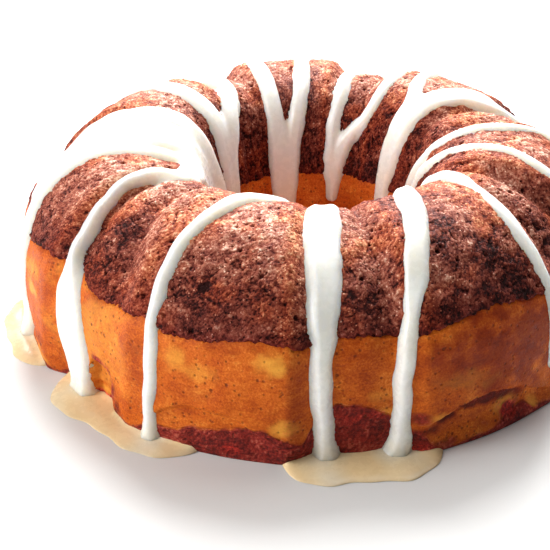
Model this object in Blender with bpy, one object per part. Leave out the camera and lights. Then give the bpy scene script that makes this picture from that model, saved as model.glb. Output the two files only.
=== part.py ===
"""Glazed ring cake in three baked layers, metres, +Z up, resting on z = 0.

Every layer is a ring of closed cross-sections. The outer skin of all three comes from one
function, skin(azimuth, t): a profile that runs up the outer wall (t = 0 at the foot), over
the crest and down the hole's wall (t = 1), pushed in where the narrow flutes and the
grooves between the broad ones lie. Azimuth 0 faces -Y and grows towards +X.
"""
import math

import bmesh
import bpy
import numpy as np

# ---------------------------------------------------------------- driving sizes
R = 0.126                 # radius of the cake's foot
GAP = 0.0003              # clearance between two pieces that touch
# profile of a broad flute as (radius, height) in units of R
PROFILE = [(0.985, 0.000), (0.990, 0.030), (0.987, 0.090), (0.983, 0.150), (0.979, 0.210),
           (0.972, 0.270), (0.957, 0.335), (0.921, 0.405), (0.866, 0.470), (0.800, 0.525),
           (0.720, 0.566), (0.635, 0.584), (0.545, 0.581), (0.465, 0.551), (0.406, 0.494),
           (0.371, 0.412), (0.350, 0.320), (0.335, 0.200), (0.325, 0.100), (0.320, 0.000)]
# centre azimuths of the seven broad flutes, a little uneven as baked
BROAD = [-171.4, -121.0, -71.6, -17.1, 33.5, 85.5, 137.1]
FACE_HALF = 0.262         # half width of a broad flute's flat face, in flute pitches
GROOVE = 0.383            # where its groove lies
# groove depth along the section, in R, and how far a narrow flute stands up out of its two grooves
DEPTH_T = [0.00, 0.25, 0.42, 0.52, 0.62, 0.80, 1.00]
DEPTH = [0.050, 0.050, 0.062, 0.045, 0.023, 0.018, 0.012]
NARROW_RISE = [0.22, 0.22, 0.36, 0.38, 0.40, 0.40, 0.40]
SHALLOW = (-38.0, 6.0, 0.45)      # where a groove of the wall is nearly lost: azimuth, width, share
# how far the flutes have turned at the crest, in degrees, by azimuth
LEAN = [(-120, 0.0), (-71, 2.5), (-49, 5.5), (-24, 3.5), (-4, 2.7), (6, 0.0), (33, 0.0), (43, -1.0),
        (80, 0.0)]
# undercut lip near the foot: height of the lip and depth of the recess below it, in R
LIP_LOW, LIP_HIGH = 0.070, 0.155
RECESS_BROAD = [0.012, 0.020, 0.026, 0.010, 0.000, 0.016, 0.024]
RECESS_NARROW = [0.012, 0.010, 0.008, 0.000, 0.012, 0.014, 0.010]
# the undercut of one broad flute: azimuth, height of its lip, depth, in R
LEDGE = [(15.5, 0.100, 0.000), (18, 0.112, 0.004), (20, 0.109, 0.012), (21.6, 0.118, 0.020),
         (23.2, 0.131, 0.028), (25.2, 0.147, 0.034), (28, 0.157, 0.036), (31.6, 0.162, 0.036),
         (34.2, 0.157, 0.036), (37, 0.141, 0.036), (39.8, 0.119, 0.036), (42.3, 0.098, 0.034),
         (45, 0.080, 0.026), (48, 0.062, 0.010), (50.5, 0.050, 0.000)]
# hollow in a narrow flute's foot: azimuth, half width in degrees, height and depth in R
ARCH = (-39.9, 3.6, 0.156, 0.034)
# layer heights, in R
CROWN_OUT, CROWN_IN = 0.368, 0.262      # lower edge of the crown, at the outer wall and in the hole
FOOT_MID, FOOT_IN = 0.065, 0.060        # top of the foot layer inside the cake and in the hole
FOOT_MIN = 0.010                        # where the golden layer reaches down to the floor
ENVELOPE_DROP = 0.006     # how far the shape that trims the glaze reaches below the floor, metres
# patches where the foot layer climbs the wall: centre azimuth, half width, height
FOOT_PATCHES = [(-12.0, 17.0, 0.108), (8.3, 8.5, 0.182), (18.3, 3.4, 0.070), (38.0, 7.0, 0.100),
                (-37.2, 3.0, 0.085), (60.0, 7.0, 0.150), (86.0, 15.0, 0.110), (131.0, 12.0, 0.120),
                (163.0, 6.5, 0.150), (-170.0, 14.0, 0.100), (-146.0, 7.0, 0.160),
                (-116.0, 11.0, 0.090), (-95.0, 6.0, 0.120)]

# glaze runs: (t, azimuth, width in mm) from the hole's wall to the lower end
RUNS = {
    "glaze_run_1": [[(0.87, -113, 5), (0.79, -111.3, 7), (0.74, -108.6, 9), (0.68, -106.5, 11),
                     (0.61, -105.8, 11.5), (0.53, -104.7, 11), (0.44, -104.2, 11), (0.36, -103.8, 9.5),
                     (0.28, -103, 6.5), (0.20, -102.6, 6)],
                    [(0.84, -111, 6), (0.77, -106.5, 10), (0.71, -101, 13), (0.64, -96.5, 14),
                     (0.56, -95, 15), (0.47, -94.5, 15), (0.39, -94, 14.5), (0.32, -91.5, 11)],
                    [(0.83, -110, 6), (0.77, -104, 10), (0.71, -94.5, 12), (0.65, -87, 13.5),
                     (0.58, -83.5, 15), (0.50, -84, 15.5), (0.42, -84, 15), (0.35, -81.5, 11),
                     (0.30, -77, 8)],
                    [(0.82, -109, 6), (0.77, -102, 9), (0.715, -90, 10.5), (0.665, -77.5, 10.5),
                     (0.625, -69, 9.5), (0.58, -69.5, 9), (0.53, -72.5, 9), (0.48, -75.5, 9),
                     (0.42, -76.6, 8.5), (0.35, -76, 8), (0.30, -75, 7.5), (0.25, -71.5, 6.5),
                     (0.19, -69.5, 6), (0.10, -69, 6), (0.00, -69.5, 7)],
                    [(0.76, -100, 7), (0.715, -84, 8.5), (0.67, -69, 10), (0.63, -57.5, 11.5),
                     (0.60, -55, 10), (0.57, -56.2, 8), (0.536, -57.6, 6.8), (0.50, -58.0, 6.2),
                     (0.462, -57.5, 5.8), (0.43, -56.6, 5.8), (0.396, -55.6, 6), (0.336, -53.9, 6.2),
                     (0.283, -52.8, 7), (0.246, -51.4, 10.5), (0.19, -49.9, 16.5), (0.15, -49.2, 18.5),
                     (0.118, -48.6, 18.5), (0.095, -47.9, 17.5), (0.07, -47.1, 15.5), (0.045, -46.8, 13.5),
                     (0.00, -46.6, 12.5)]],
    "glaze_run_2": [[(0.66, -8.5, 3.5), (0.615, -13, 6), (0.575, -21, 8), (0.50, -25, 7),
                     (0.43, -27.2, 6), (0.36, -28, 5.5), (0.27, -27.6, 5.5), (0.15, -27, 5.5),
                     (0.05, -27.4, 5.8), (0.00, -27.2, 6.5)]],
    "glaze_run_3": [[(0.80, 5, 8), (0.66, 4, 11.5), (0.58, 3.3, 13), (0.42, 2.5, 13.2), (0.32, 2.4, 12.6),
                     (0.25, 2.1, 9.6), (0.15, 2.0, 8.2), (0.05, 2.7, 7.6), (0.00, 3, 9)]],
    "glaze_run_4": [[(0.76, 49, 6), (0.67, 43, 7.5), (0.60, 34, 9.2), (0.50, 27, 9.4), (0.42, 22.6, 9.0),
                     (0.35, 19.6, 8.4), (0.30, 17.9, 6.4), (0.25, 16.9, 6.8), (0.18, 16, 7),
                     (0.06, 15.8, 7.8), (0.00, 15.4, 9)]],
    "glaze_run_5": [[(0.78, 75, 6), (0.69, 70, 6.5), (0.62, 61, 6.5), (0.55, 55.5, 6.5), (0.47, 49, 6.2),
                     (0.41, 47.2, 6), (0.32, 46.6, 5.8), (0.20, 46.2, 5.5), (0.11, 46.6, 6.2)]],
    "glaze_run_6": [[(0.80, 109, 5), (0.72, 98, 5), (0.66, 87, 4.6), (0.60, 80.8, 4.4), (0.50, 76.6, 4.4),
                     (0.42, 73.6, 4.4), (0.30, 72.4, 4.6), (0.16, 72.6, 5), (0.06, 73.4, 6), (0.0, 73.6, 7)]],
    "glaze_run_7": [[(0.82, 114, 5), (0.70, 106, 4.4), (0.64, 98, 4), (0.56, 95, 4), (0.49, 94.8, 4),
                     (0.43, 95.6, 4), (0.33, 97, 4.4), (0.24, 97.6, 5)]],
    "glaze_run_8": [[(0.90, 133.5, 7), (0.80, 133, 9.5), (0.70, 131.3, 11.5), (0.60, 127.8, 12),
                     (0.50, 122, 12), (0.42, 118.5, 10), (0.30, 117, 8), (0.15, 116.5, 7), (0.00, 116.5, 9)],
                    [(0.68, 132, 6), (0.60, 135, 7), (0.54, 140, 7), (0.45, 142.5, 6.5),
                     (0.32, 143.5, 6), (0.18, 143, 6.5)]],
    "glaze_run_9": [[(0.88, 168.5, 6.5), (0.80, 167, 8.5), (0.74, 162, 7.5), (0.67, 152.5, 6.5),
                     (0.57, 150, 6.5), (0.45, 150.6, 6.5), (0.30, 152.5, 6), (0.12, 153, 6.4), (0.0, 153, 8)],
                    [(0.82, 169, 6), (0.72, 170, 6.5), (0.62, 168.3, 6.8), (0.48, 168.6, 6.8),
                     (0.34, 170, 6.2), (0.22, 170.6, 6.8)]],
    "glaze_run_10": [[(0.92, -161.5, 9), (0.80, -162, 13), (0.71, -159.5, 9), (0.60, -159.3, 8.4),
                      (0.48, -160.5, 8), (0.32, -161.8, 7), (0.14, -162, 7.4), (0.0, -162, 9)],
                     [(0.84, -164, 6), (0.74, -168, 8), (0.64, -173, 8), (0.54, -175, 8),
                      (0.40, -176.5, 7), (0.27, -177.3, 7.4)]],
    "glaze_run_11": [[(0.88, -122.5, 8), (0.78, -123.5, 11.5), (0.70, -124, 10), (0.60, -125, 9),
                      (0.48, -124.6, 9), (0.34, -123.6, 7.6), (0.20, -122.8, 7), (0.0, -122.4, 8)],
                     [(0.76, -125, 7), (0.69, -132, 9.5), (0.60, -141, 10), (0.50, -144.6, 10),
                      (0.38, -146, 8), (0.24, -146.6, 8.2)]],
}
GLAZE_H = 0.0024          # height of a run above the skin
GLAZE_EDGE = 0.0013       # and at its edges
RUN_SINK = 0.003          # how deep a run's underside lies in the cake before it is trimmed
WIDE_RUN = 0.018          # a run at least this wide takes more points across
NARROW_ACROSS, WIDE_ACROSS = [-1, -0.45, 0.45, 1], np.linspace(-1, 1, 9)
HANG = 0.45               # share of an undercut that a run follows, as it hangs down in front of it
RUN_STEP = 0.0140         # length of one step along a run
RUN_FLOOR = 0.0016        # runs end this far above the floor, just clear of the pools
# pools round the foot: (azimuth, outer radius in R) from end to end
POOLS = {
    "glaze_pool_left": [(-84, 1.00), (-80, 1.035), (-74, 1.055), (-67, 1.060), (-61, 1.045), (-57, 1.00)],
    "glaze_pool_front_left": [(-53, 0.98), (-49, 1.035), (-42, 1.055), (-34, 1.050), (-27, 1.062),
                              (-22, 1.045), (-18, 1.00)],
    "glaze_pool_front": [(-5, 0.99), (-1, 1.045), (4, 1.068), (10, 1.060), (16, 1.064), (20, 1.040),
                         (24, 0.99)],
    "glaze_pool_right": [(62, 0.98), (67, 1.03), (74, 1.050), (82, 1.032), (88, 1.015), (93, 0.98)],
    "glaze_pool_back": [(145, 0.98), (151, 1.04), (160, 1.040), (170, 1.045), (180, 1.066), (190, 1.055),
                        (198, 1.050), (204, 1.00)],
    "glaze_pool_back_left": [(-132, 0.98), (-127, 1.03), (-122, 1.045), (-117, 1.03), (-112, 0.98)],
    "glaze_pool_back_right": [(108, 0.98), (112, 1.03), (117, 1.045), (122, 1.03), (126, 0.98)],
}
POOL_H = 0.0012           # height of a pool
POOL_INNER = 0.90         # radius where a pool ends under the cake before it is trimmed, in R
# rows of each layer's mesh
FOOT_OUT, GOLD_OUT, CROWN_ROWS, GOLD_IN, FOOT_IN_ROWS = 3, 7, 14, 3, 2
COLUMN_STEPS = [0, 0.14, 0.262, 0.32, 0.383, 0.44]   # of a flute pitch


# ---------------------------------------------------------------- the form
def natural_spline(knots, values):
    """Natural cubic spline through values at knots; returns a function."""
    x, y = np.asarray(knots, float), np.asarray(values, float)
    n, h = len(x), np.diff(x)
    a = np.eye(n)
    b = np.zeros((n,) + y.shape[1:])
    slope = np.diff(y, axis=0) / h.reshape((-1,) + (1,) * (y.ndim - 1))
    for i in range(1, n - 1):
        a[i, i - 1:i + 2] = h[i - 1], 2 * (h[i - 1] + h[i]), h[i]
        b[i] = 6 * (slope[i] - slope[i - 1])
    m = np.linalg.solve(a, b)

    def at(q):
        q = np.clip(np.asarray(q, float), x[0], x[-1])
        k = np.clip(np.searchsorted(x, q, side="right") - 1, 0, n - 2)
        shape = q.shape + (1,) * (y.ndim - 1)
        w, s = h[k].reshape(shape), (q - x[k]).reshape(shape)
        return (y[k] + s * (slope[k] - w * (2 * m[k] + m[k + 1]) / 6)
                + s ** 2 * m[k] / 2 + s ** 3 * (m[k + 1] - m[k]) / (6 * w))
    return at


_profile = np.array(PROFILE)
_length = np.r_[0, np.cumsum(np.linalg.norm(np.diff(_profile, axis=0), axis=1))]
section = natural_spline(_length / _length[-1], _profile)
groove_depth = natural_spline(DEPTH_T, DEPTH)
narrow_rise = natural_spline(DEPTH_T, NARROW_RISE)


def smooth(x):
    x = np.clip(x, 0, 1)
    return x * x * (3 - 2 * x)


def flute_phase(azimuth):
    """Whole numbers at broad flutes' centres, halves at narrow ones."""
    centres = BROAD + [BROAD[0] + 360]
    wrapped = (np.asarray(azimuth, float) - BROAD[0]) % 360 + BROAD[0]
    return np.interp(wrapped, centres, np.arange(8.0))


def flute_depth(phase, t):
    """0 on a broad face, 1 in a groove, less on a narrow flute; grooves are sharp towards the crest."""
    d = np.abs(phase - np.round(phase))
    x = np.clip((d - FACE_HALF) / (GROOVE - FACE_HALF), 0, 1)
    y = np.clip((d - GROOVE) / ((0.5 - GROOVE) * 0.8), 0, 1)
    sharp = 0.9 * smooth((t - 0.27) / 0.10)
    down = smooth(x) - sharp * x * x * (1 - x)
    up = smooth(y) + sharp * y * (1 - y) ** 2
    return down - narrow_rise(t) * up


def recess(azimuth, z, share):
    """Undercut below the lip near the foot, in R, at height z (in R), or a share of it."""
    phase = flute_phase(azimuth)
    k = np.round(phase).astype(int) % 7
    d = np.abs(phase - np.round(phase))
    broad = np.array(RECESS_BROAD)[k] * smooth((0.30 - d) / 0.16)
    narrow = np.array(RECESS_NARROW)[np.floor(phase).astype(int) % 7] * smooth((d - 0.36) / 0.08)
    lip = LIP_LOW + (LIP_HIGH - LIP_LOW) * smooth((0.27 - d) / 0.22)
    below = smooth((lip - z) / 0.018)
    flare = 1 - 0.75 * smooth((0.07 - z) / 0.07)
    where, top, deep = zip(*LEDGE)
    ledge = np.interp(azimuth, where, deep) * smooth((np.interp(azimuth, where, top) - z) / 0.014) * flare
    u = np.clip(np.abs(azimuth - ARCH[0]) / ARCH[1], 0, 1)
    arch = ARCH[3] * smooth((1 - u) / 0.28) * smooth((ARCH[2] * np.sqrt(1 - u ** 6) - z) / 0.014)
    return ((broad + narrow) * below * flare + ledge) * share + arch * share ** 3


def skin(azimuth, t, undercut=1.0):
    """Points on the cake's skin, metres, for arrays of azimuth (degrees) and t."""
    azimuth, t = np.broadcast_arrays(np.asarray(azimuth, float), np.asarray(t, float))
    p = section(t)
    q = section(np.clip(t + 1e-4, 0, 1)) - section(np.clip(t - 1e-4, 0, 1))
    q /= np.linalg.norm(q, axis=-1, keepdims=True)
    lean = np.interp(azimuth, *zip(*LEAN)) * smooth((t - 0.25) / 0.27)
    depth = flute_depth(flute_phase(azimuth + lean), t) * groove_depth(t)
    lost = np.exp(-((azimuth - SHALLOW[0]) / SHALLOW[1]) ** 2) * smooth((0.34 - t) / 0.14)
    depth = depth * (1 - SHALLOW[2] * lost)
    r = p[..., 0] - depth * q[..., 1]
    z = p[..., 1] + depth * q[..., 0] * smooth(p[..., 1] / 0.12)
    r = r - np.where(t < 0.4, recess(azimuth, z, undercut), 0)
    a = np.radians(azimuth)
    return np.stack([r * np.sin(a), -r * np.cos(a), np.maximum(z, 0)], -1) * R


def skin_normal(azimuth, t, undercut=1.0):
    azimuth, t = np.asarray(azimuth, float), np.asarray(t, float)
    da = skin(azimuth + 0.3, t, undercut) - skin(azimuth - 0.3, t, undercut)
    dt = skin(azimuth, np.clip(t + 0.004, 0, 1), undercut) - skin(azimuth, np.clip(t - 0.004, 0, 1), undercut)
    n = np.cross(da, dt)
    return n / np.linalg.norm(n, axis=-1, keepdims=True)


def wobble(azimuth, seed, low=5, high=27):
    """Gentle unevenness round the ring, about -1 to 1."""
    rng = np.random.default_rng(seed)
    total = 0
    for k in range(low, high, 2):
        total = total + math.sqrt(low / k) * np.sin(np.radians(k * azimuth) + rng.uniform(0, 2 * math.pi))
    return total / 3


def patch_height(azimuth):
    """Height of the foot layer at the outer wall, in R."""
    best = np.full(np.shape(azimuth), FOOT_MIN)
    for centre, half, height in FOOT_PATCHES:
        d = np.abs((azimuth - centre + 180) % 360 - 180) / half
        best = np.maximum(best, FOOT_MIN + (height - FOOT_MIN) * smooth((1 - d) * 1.9))
    return best + 0.004 * wobble(azimuth, 3) * (best > 0.03)


def crown_height(azimuth):
    """Lower edge of the crown at the outer wall, in R."""
    broad = smooth((0.3 - np.abs(flute_phase(azimuth) - np.round(flute_phase(azimuth)))) / 0.3)
    return CROWN_OUT + 0.012 * (broad - 0.5) + 0.012 * wobble(azimuth, 8)


# ---------------------------------------------------------------- rings
def t_at_height(azimuth, height, outer):
    """t where one column of the skin passes a height (in R), on the outer or the hole's wall."""
    t = np.linspace(0, 0.5, 500) if outer else np.linspace(1, 0.6, 400)
    z = skin(np.full(t.shape, azimuth), t)[:, 2] / R
    return float(np.interp(height, np.maximum.accumulate(z), t))


def columns():
    """Azimuths of the mesh's columns: closer together where the flutes turn."""
    centres = BROAD + [BROAD[0] + 360]
    out = []
    for a, b in zip(centres[:-1], centres[1:]):
        steps = COLUMN_STEPS + [0.5] + [1 - s for s in COLUMN_STEPS[:0:-1]]
        out += [a + (b - a) * s for s in steps]
    return out


def section_rows(azimuth):
    """Skin points of one column, split by layer, each from the outer foot round to the hole."""
    foot_t = t_at_height(azimuth, float(patch_height(azimuth)), True)
    crown_t = t_at_height(azimuth, float(crown_height(azimuth)), True)
    crown_in_t = t_at_height(azimuth, CROWN_IN + 0.006 * float(wobble(azimuth, 5)), False)
    foot_in_t = t_at_height(azimuth, FOOT_IN, False)
    spans = [(0, foot_t, FOOT_OUT), (foot_t, crown_t, GOLD_OUT), (crown_t, crown_in_t, CROWN_ROWS),
             (crown_in_t, foot_in_t, GOLD_IN), (foot_in_t, 1, FOOT_IN_ROWS)]
    return [skin(np.full(n, azimuth), np.linspace(a, b, n)) for a, b, n in spans]


def middle(outer, inner, height):
    """Point between two skin points, at a given height in R."""
    p = (outer + inner) / 2
    p[2] = height * R
    return p


def lifted(points, dz):
    out = np.array(points, float)
    out[..., 2] += dz
    return out


def ring_object(name, loops, flipped, material):
    """Closed ring from one loop of points per column. Rows in flipped split the other way."""
    verts = [tuple(p) for loop in loops for p in loop]
    n, m = len(loops), len(loops[0])
    faces = []
    for i in range(n):
        for j in range(m):
            a, b = i * m + j, i * m + (j + 1) % m
            c, d = ((i + 1) % n) * m + (j + 1) % m, ((i + 1) % n) * m + j
            faces += [(a, d, b), (d, c, b)] if j in flipped else [(a, d, c), (a, c, b)]
    return mesh_object(name, verts, faces, material)


def mesh_object(name, verts, faces, material=None):
    mesh = bpy.data.meshes.new(name)
    mesh.from_pydata([tuple(map(float, v)) for v in verts], [], faces)
    bm = bmesh.new()
    bm.from_mesh(mesh)
    bmesh.ops.recalc_face_normals(bm, faces=bm.faces[:])
    bm.to_mesh(mesh)
    bm.free()
    obj = bpy.data.objects.new(name, mesh)
    bpy.context.scene.collection.objects.link(obj)
    if material:
        mesh.materials.append(material)
    return obj


def material(name, colour, roughness):
    mat = bpy.data.materials.new(name)
    mat.use_nodes = True
    shader = mat.node_tree.nodes["Principled BSDF"]
    shader.inputs["Base Color"].default_value = (*colour, 1)
    shader.inputs["Roughness"].default_value = roughness
    return mat


def build_layers(crown_mat, golden_mat, foot_mat):
    """The three layers, and the envelope of the whole cake one gap outside its skin."""
    half = GAP / 2
    foot, golden, crown, envelope = [], [], [], []
    for azimuth in columns():
        f_out, g_out, c_skin, g_in, f_in = section_rows(azimuth)
        low = middle(f_out[-1], f_in[0], FOOT_MID)
        high = middle(g_out[-1], g_in[0], (crown_height(azimuth) + CROWN_IN) / 2)
        foot.append([*f_out[:-1], lifted(f_out[-1], -half), lifted(low, -half),
                     lifted(f_in[0], -half), *f_in[1:]])
        golden.append([lifted(g_out[0], half), *g_out[1:-1], lifted(g_out[-1], -half),
                       lifted(high, -half), lifted(g_in[0], -half), *g_in[1:-1],
                       lifted(g_in[-1], half), lifted(low, half)])
        crown.append([lifted(c_skin[0], half), *c_skin[1:-1], lifted(c_skin[-1], half),
                      lifted(high, half)])
        envelope.append([lifted(f_out[0], -ENVELOPE_DROP), *f_out, *g_out[1:], *c_skin[1:], *g_in[1:],
                         *f_in[1:], lifted(f_in[-1], -ENVELOPE_DROP)])
    n_gold, n_crown = len(golden[0]), len(crown[0])
    ring_object("foot_red_velvet", foot, set(), foot_mat)
    ring_object("golden_layer", golden, {n_gold - 2, n_gold - 1}, golden_mat)
    ring_object("crown_red_velvet", crown, {n_crown - 2, n_crown - 1}, crown_mat)
    cutter = ring_object("cake_envelope", envelope, set(), None)
    bm = bmesh.new()
    bm.from_mesh(cutter.data)
    bm.normal_update()
    moved = [v.co + v.normal * (GAP * 1.15) for v in bm.verts]
    for v, co in zip(bm.verts, moved):
        v.co = co
    bm.to_mesh(cutter.data)
    bm.free()
    return cutter


# ---------------------------------------------------------------- glaze
def run_mesh(stations):
    """Ribbon along the skin, rounded on top and sunk into the cake below."""
    st = np.array(stations, float)
    order = np.argsort(st[:, 0])
    path = natural_spline(st[order, 0], st[order, 1])
    width = st[order, 2] / 1000
    ts = [st[order[-1], 0]]
    while ts[-1] > st[order[0], 0]:
        here = skin(path(ts[-1]), ts[-1])
        step = 0.002
        while True:
            t = ts[-1] - step
            if t <= st[order[0], 0]:
                break
            if np.linalg.norm(skin(path(t), t) - here) >= RUN_STEP:
                break
            step += 0.002
        ts.append(max(t, st[order[0], 0]))
    offsets = np.array(NARROW_ACROSS if width.max() < WIDE_RUN else WIDE_ACROSS)
    across = len(offsets)
    top = GLAZE_EDGE + (GLAZE_H - GLAZE_EDGE) * np.sqrt(1 - offsets ** 2)
    rows = []
    for i, t in enumerate(ts):
        w = np.interp(t, st[order, 0], width)
        upper_end = i == 0 or (i == len(ts) - 1 and st[order[0], 0] > 0.01)
        w *= 0.55 if upper_end else 1
        centre = path(t)
        radius = np.hypot(*skin(centre, t)[:2])
        run = np.radians(abs(float(path(t + 0.01) - path(t - 0.01)))) * radius
        rise = np.linalg.norm(skin(centre, min(t + 0.01, 1)) - skin(centre, max(t - 0.01, 0)))
        spread = np.degrees(w / 2 / radius) * math.hypot(1, run / max(rise, 1e-6)) ** 0.7
        az = centre + offsets * spread
        p = skin(az, np.full(across, t), HANG)
        n = skin_normal(az, np.full(across, min(max(t, 0.004), 0.996)), HANG)
        rows.append(np.concatenate([p + n * top[:, None], (p - n * RUN_SINK)[::-1]]))
    m = 2 * across
    verts = [tuple(v) for row in rows for v in row]
    faces = []
    for i in range(len(rows) - 1):
        for j in range(m):
            a, b = i * m + j, i * m + (j + 1) % m
            faces += [(a, a + m, b + m), (a, b + m, b)]
    last = (len(rows) - 1) * m
    for k in range(across - 1):
        q = (k, k + 1, m - 2 - k, m - 1 - k)
        faces += [(q[0], q[1], q[2]), (q[0], q[2], q[3])]
        faces += [(last + q[2], last + q[1], last + q[0]), (last + q[3], last + q[2], last + q[0])]
    return verts, faces


def pool_mesh(outline):
    """Flat puddle against the foot, its top slightly domed and its edge rounded over."""
    o = np.array(outline, float)
    az = np.arange(o[0, 0], o[-1, 0] + 0.1, (o[-1, 0] - o[0, 0]) / max(6, round((o[-1, 0] - o[0, 0]) / 4)))
    outer = natural_spline(o[:, 0], o[:, 1])(az) * R
    rows = []
    for a, r in zip(az, outer):
        rr = np.array([POOL_INNER * R, r - 0.0012, r, r - 0.0002, POOL_INNER * R])
        zz = np.array([POOL_H, POOL_H, POOL_H * 0.35, 0.0, 0.0])
        s, c = math.sin(math.radians(a)), math.cos(math.radians(a))
        rows.append(np.stack([rr * s, -rr * c, zz], -1))
    verts = [tuple(v) for row in rows for v in row]
    faces = []
    for i in range(len(rows) - 1):
        for j in range(5):
            a, b = i * 5 + j, i * 5 + (j + 1) % 5
            faces += [(a, a + 5, b + 5), (a, b + 5, b)]
    last = (len(rows) - 1) * 5
    for k in (1, 2, 3):
        faces += [(0, k, k + 1), (last, last + k + 1, last + k)]
    return verts, faces


def closed(bm):
    return len(bm.faces) > 0 and all(len(edge.link_faces) == 2 for edge in bm.edges)


def boolean(obj, other, operation):
    """Apply one Boolean, with the second solver where the first leaves nothing or a hole."""
    for solver in ("EXACT", "MANIFOLD"):
        mod = obj.modifiers.new(operation.lower(), "BOOLEAN")
        mod.operation, mod.object, mod.solver = operation, other, solver
        graph = bpy.context.evaluated_depsgraph_get()
        mesh = bpy.data.meshes.new_from_object(obj.evaluated_get(graph))
        obj.modifiers.clear()
        bm = bmesh.new()
        bm.from_mesh(mesh)
        good = closed(bm)
        bm.free()
        if good:
            break
    old, obj.data = obj.data, mesh
    bpy.data.meshes.remove(old)


def tidy(obj):
    """Drop scraps and hair-thin faces a Boolean leaves, keep the largest closed piece."""
    for merge in (0.00008, 0.00002, 0):
        bm = bmesh.new()
        bm.from_mesh(obj.data)
        if merge:
            bmesh.ops.remove_doubles(bm, verts=bm.verts[:], dist=merge)
            bmesh.ops.dissolve_degenerate(bm, edges=bm.edges[:], dist=merge)
        bmesh.ops.triangulate(bm, faces=bm.faces[:])
        if closed(bm):
            break
        bm.free()
    groups, seen = [], set()
    for seed in bm.faces:
        if seed in seen:
            continue
        stack, group = [seed], []
        seen.add(seed)
        while stack:
            face = stack.pop()
            group.append(face)
            for edge in face.edges:
                for near in edge.link_faces:
                    if near not in seen:
                        seen.add(near)
                        stack.append(near)
        groups.append(group)
    groups.sort(key=len)
    for group in groups[:-1]:
        bmesh.ops.delete(bm, geom=group, context="FACES")
    bmesh.ops.delete(bm, geom=[v for v in bm.verts if not v.link_faces], context="VERTS")
    bm.to_mesh(obj.data)
    bm.free()


def floor_block(height):
    s, lo = 0.3, -0.02
    verts = [(x, y, z) for z in (lo, height) for y in (-s, s) for x in (-s, s)]
    faces = [(0, 2, 3, 1), (4, 5, 7, 6), (0, 1, 5, 4), (2, 6, 7, 3), (0, 4, 6, 2), (1, 3, 7, 5)]
    return mesh_object("floor_block", verts, faces)


def build_glaze(envelope, mat):
    block = floor_block(RUN_FLOOR)
    for name, strands in RUNS.items():
        parts = [mesh_object(name if i == 0 else f"{name}_strand", *run_mesh(s), mat)
                 for i, s in enumerate(strands)]
        for extra in parts[1:]:
            boolean(parts[0], extra, "UNION")
            bpy.data.objects.remove(extra)
        boolean(parts[0], envelope, "DIFFERENCE")
        boolean(parts[0], block, "DIFFERENCE")
        tidy(parts[0])
    bpy.data.objects.remove(block)
    for name, outline in POOLS.items():
        pool = mesh_object(name, *pool_mesh(outline), mat)
        boolean(pool, envelope, "DIFFERENCE")
        tidy(pool)


def main():
    for obj in list(bpy.data.objects):
        bpy.data.objects.remove(obj)
    crown = material("crown_crumb", (0.30, 0.075, 0.045), 0.85)
    golden = material("golden_crumb", (0.52, 0.20, 0.035), 0.70)
    foot = material("foot_crumb", (0.13, 0.018, 0.018), 0.75)
    glaze = material("glaze", (0.84, 0.83, 0.76), 0.25)
    envelope = build_layers(crown, golden, foot)
    build_glaze(envelope, glaze)
    bpy.data.objects.remove(envelope)


main()
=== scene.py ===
import math

import bpy
import numpy as np
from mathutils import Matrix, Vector


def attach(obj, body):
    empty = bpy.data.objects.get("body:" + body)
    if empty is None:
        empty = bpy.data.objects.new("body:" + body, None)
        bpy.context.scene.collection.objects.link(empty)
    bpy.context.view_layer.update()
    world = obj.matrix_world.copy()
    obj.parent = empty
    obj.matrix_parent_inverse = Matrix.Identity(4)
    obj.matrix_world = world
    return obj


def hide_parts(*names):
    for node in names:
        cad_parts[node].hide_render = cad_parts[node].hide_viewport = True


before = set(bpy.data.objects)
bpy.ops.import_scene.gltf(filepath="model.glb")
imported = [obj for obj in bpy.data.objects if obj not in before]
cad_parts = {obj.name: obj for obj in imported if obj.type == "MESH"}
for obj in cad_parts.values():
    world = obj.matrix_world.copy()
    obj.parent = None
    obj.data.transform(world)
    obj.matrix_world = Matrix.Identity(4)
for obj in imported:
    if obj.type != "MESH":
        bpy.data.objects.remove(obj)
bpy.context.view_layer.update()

# ---- sizes shared with the solids
R = 0.126
PROFILE = [(0.985, 0.000), (0.990, 0.030), (0.987, 0.090), (0.983, 0.150), (0.979, 0.210),
           (0.972, 0.270), (0.957, 0.335), (0.921, 0.405), (0.866, 0.470), (0.800, 0.525),
           (0.720, 0.566), (0.635, 0.584), (0.545, 0.581), (0.465, 0.551), (0.406, 0.494),
           (0.371, 0.412), (0.350, 0.320), (0.335, 0.200), (0.325, 0.100), (0.320, 0.000)]
BROAD = [-171.4, -121.0, -71.6, -17.1, 33.5, 85.5, 137.1]  # azimuths of the broad flutes
FACE_HALF, GROOVE = 0.262, 0.383  # where a broad face ends and a groove is deepest, in flute spacings
# depth of the grooves in R, and the share of it that a narrow flute rises again, at these t
DEPTH_T = [0.00, 0.25, 0.42, 0.52, 0.62, 0.80, 1.00]
DEPTH = [0.050, 0.050, 0.062, 0.045, 0.023, 0.018, 0.012]
NARROW_RISE = [0.22, 0.22, 0.36, 0.38, 0.40, 0.40, 0.40]
SHALLOW = (-38.0, 6.0, 0.45)  # where a groove of the wall is nearly lost: azimuth, width, share
# how far the flutes lean aside towards the crest: azimuth, degrees
LEAN = [(-120, 0), (-71, 2.5), (-49, 5.5), (-24, 3.5), (-4, 2.7), (6, 0), (33, 0), (43, -1), (80, 0)]
# the lip near the foot, highest on broad faces, and the undercut below each flute's, in R
LIP_LOW, LIP_HIGH = 0.070, 0.155
RECESS_BROAD = [0.012, 0.020, 0.026, 0.010, 0.000, 0.016, 0.024]
RECESS_NARROW = [0.012, 0.010, 0.008, 0.000, 0.012, 0.014, 0.010]
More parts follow.
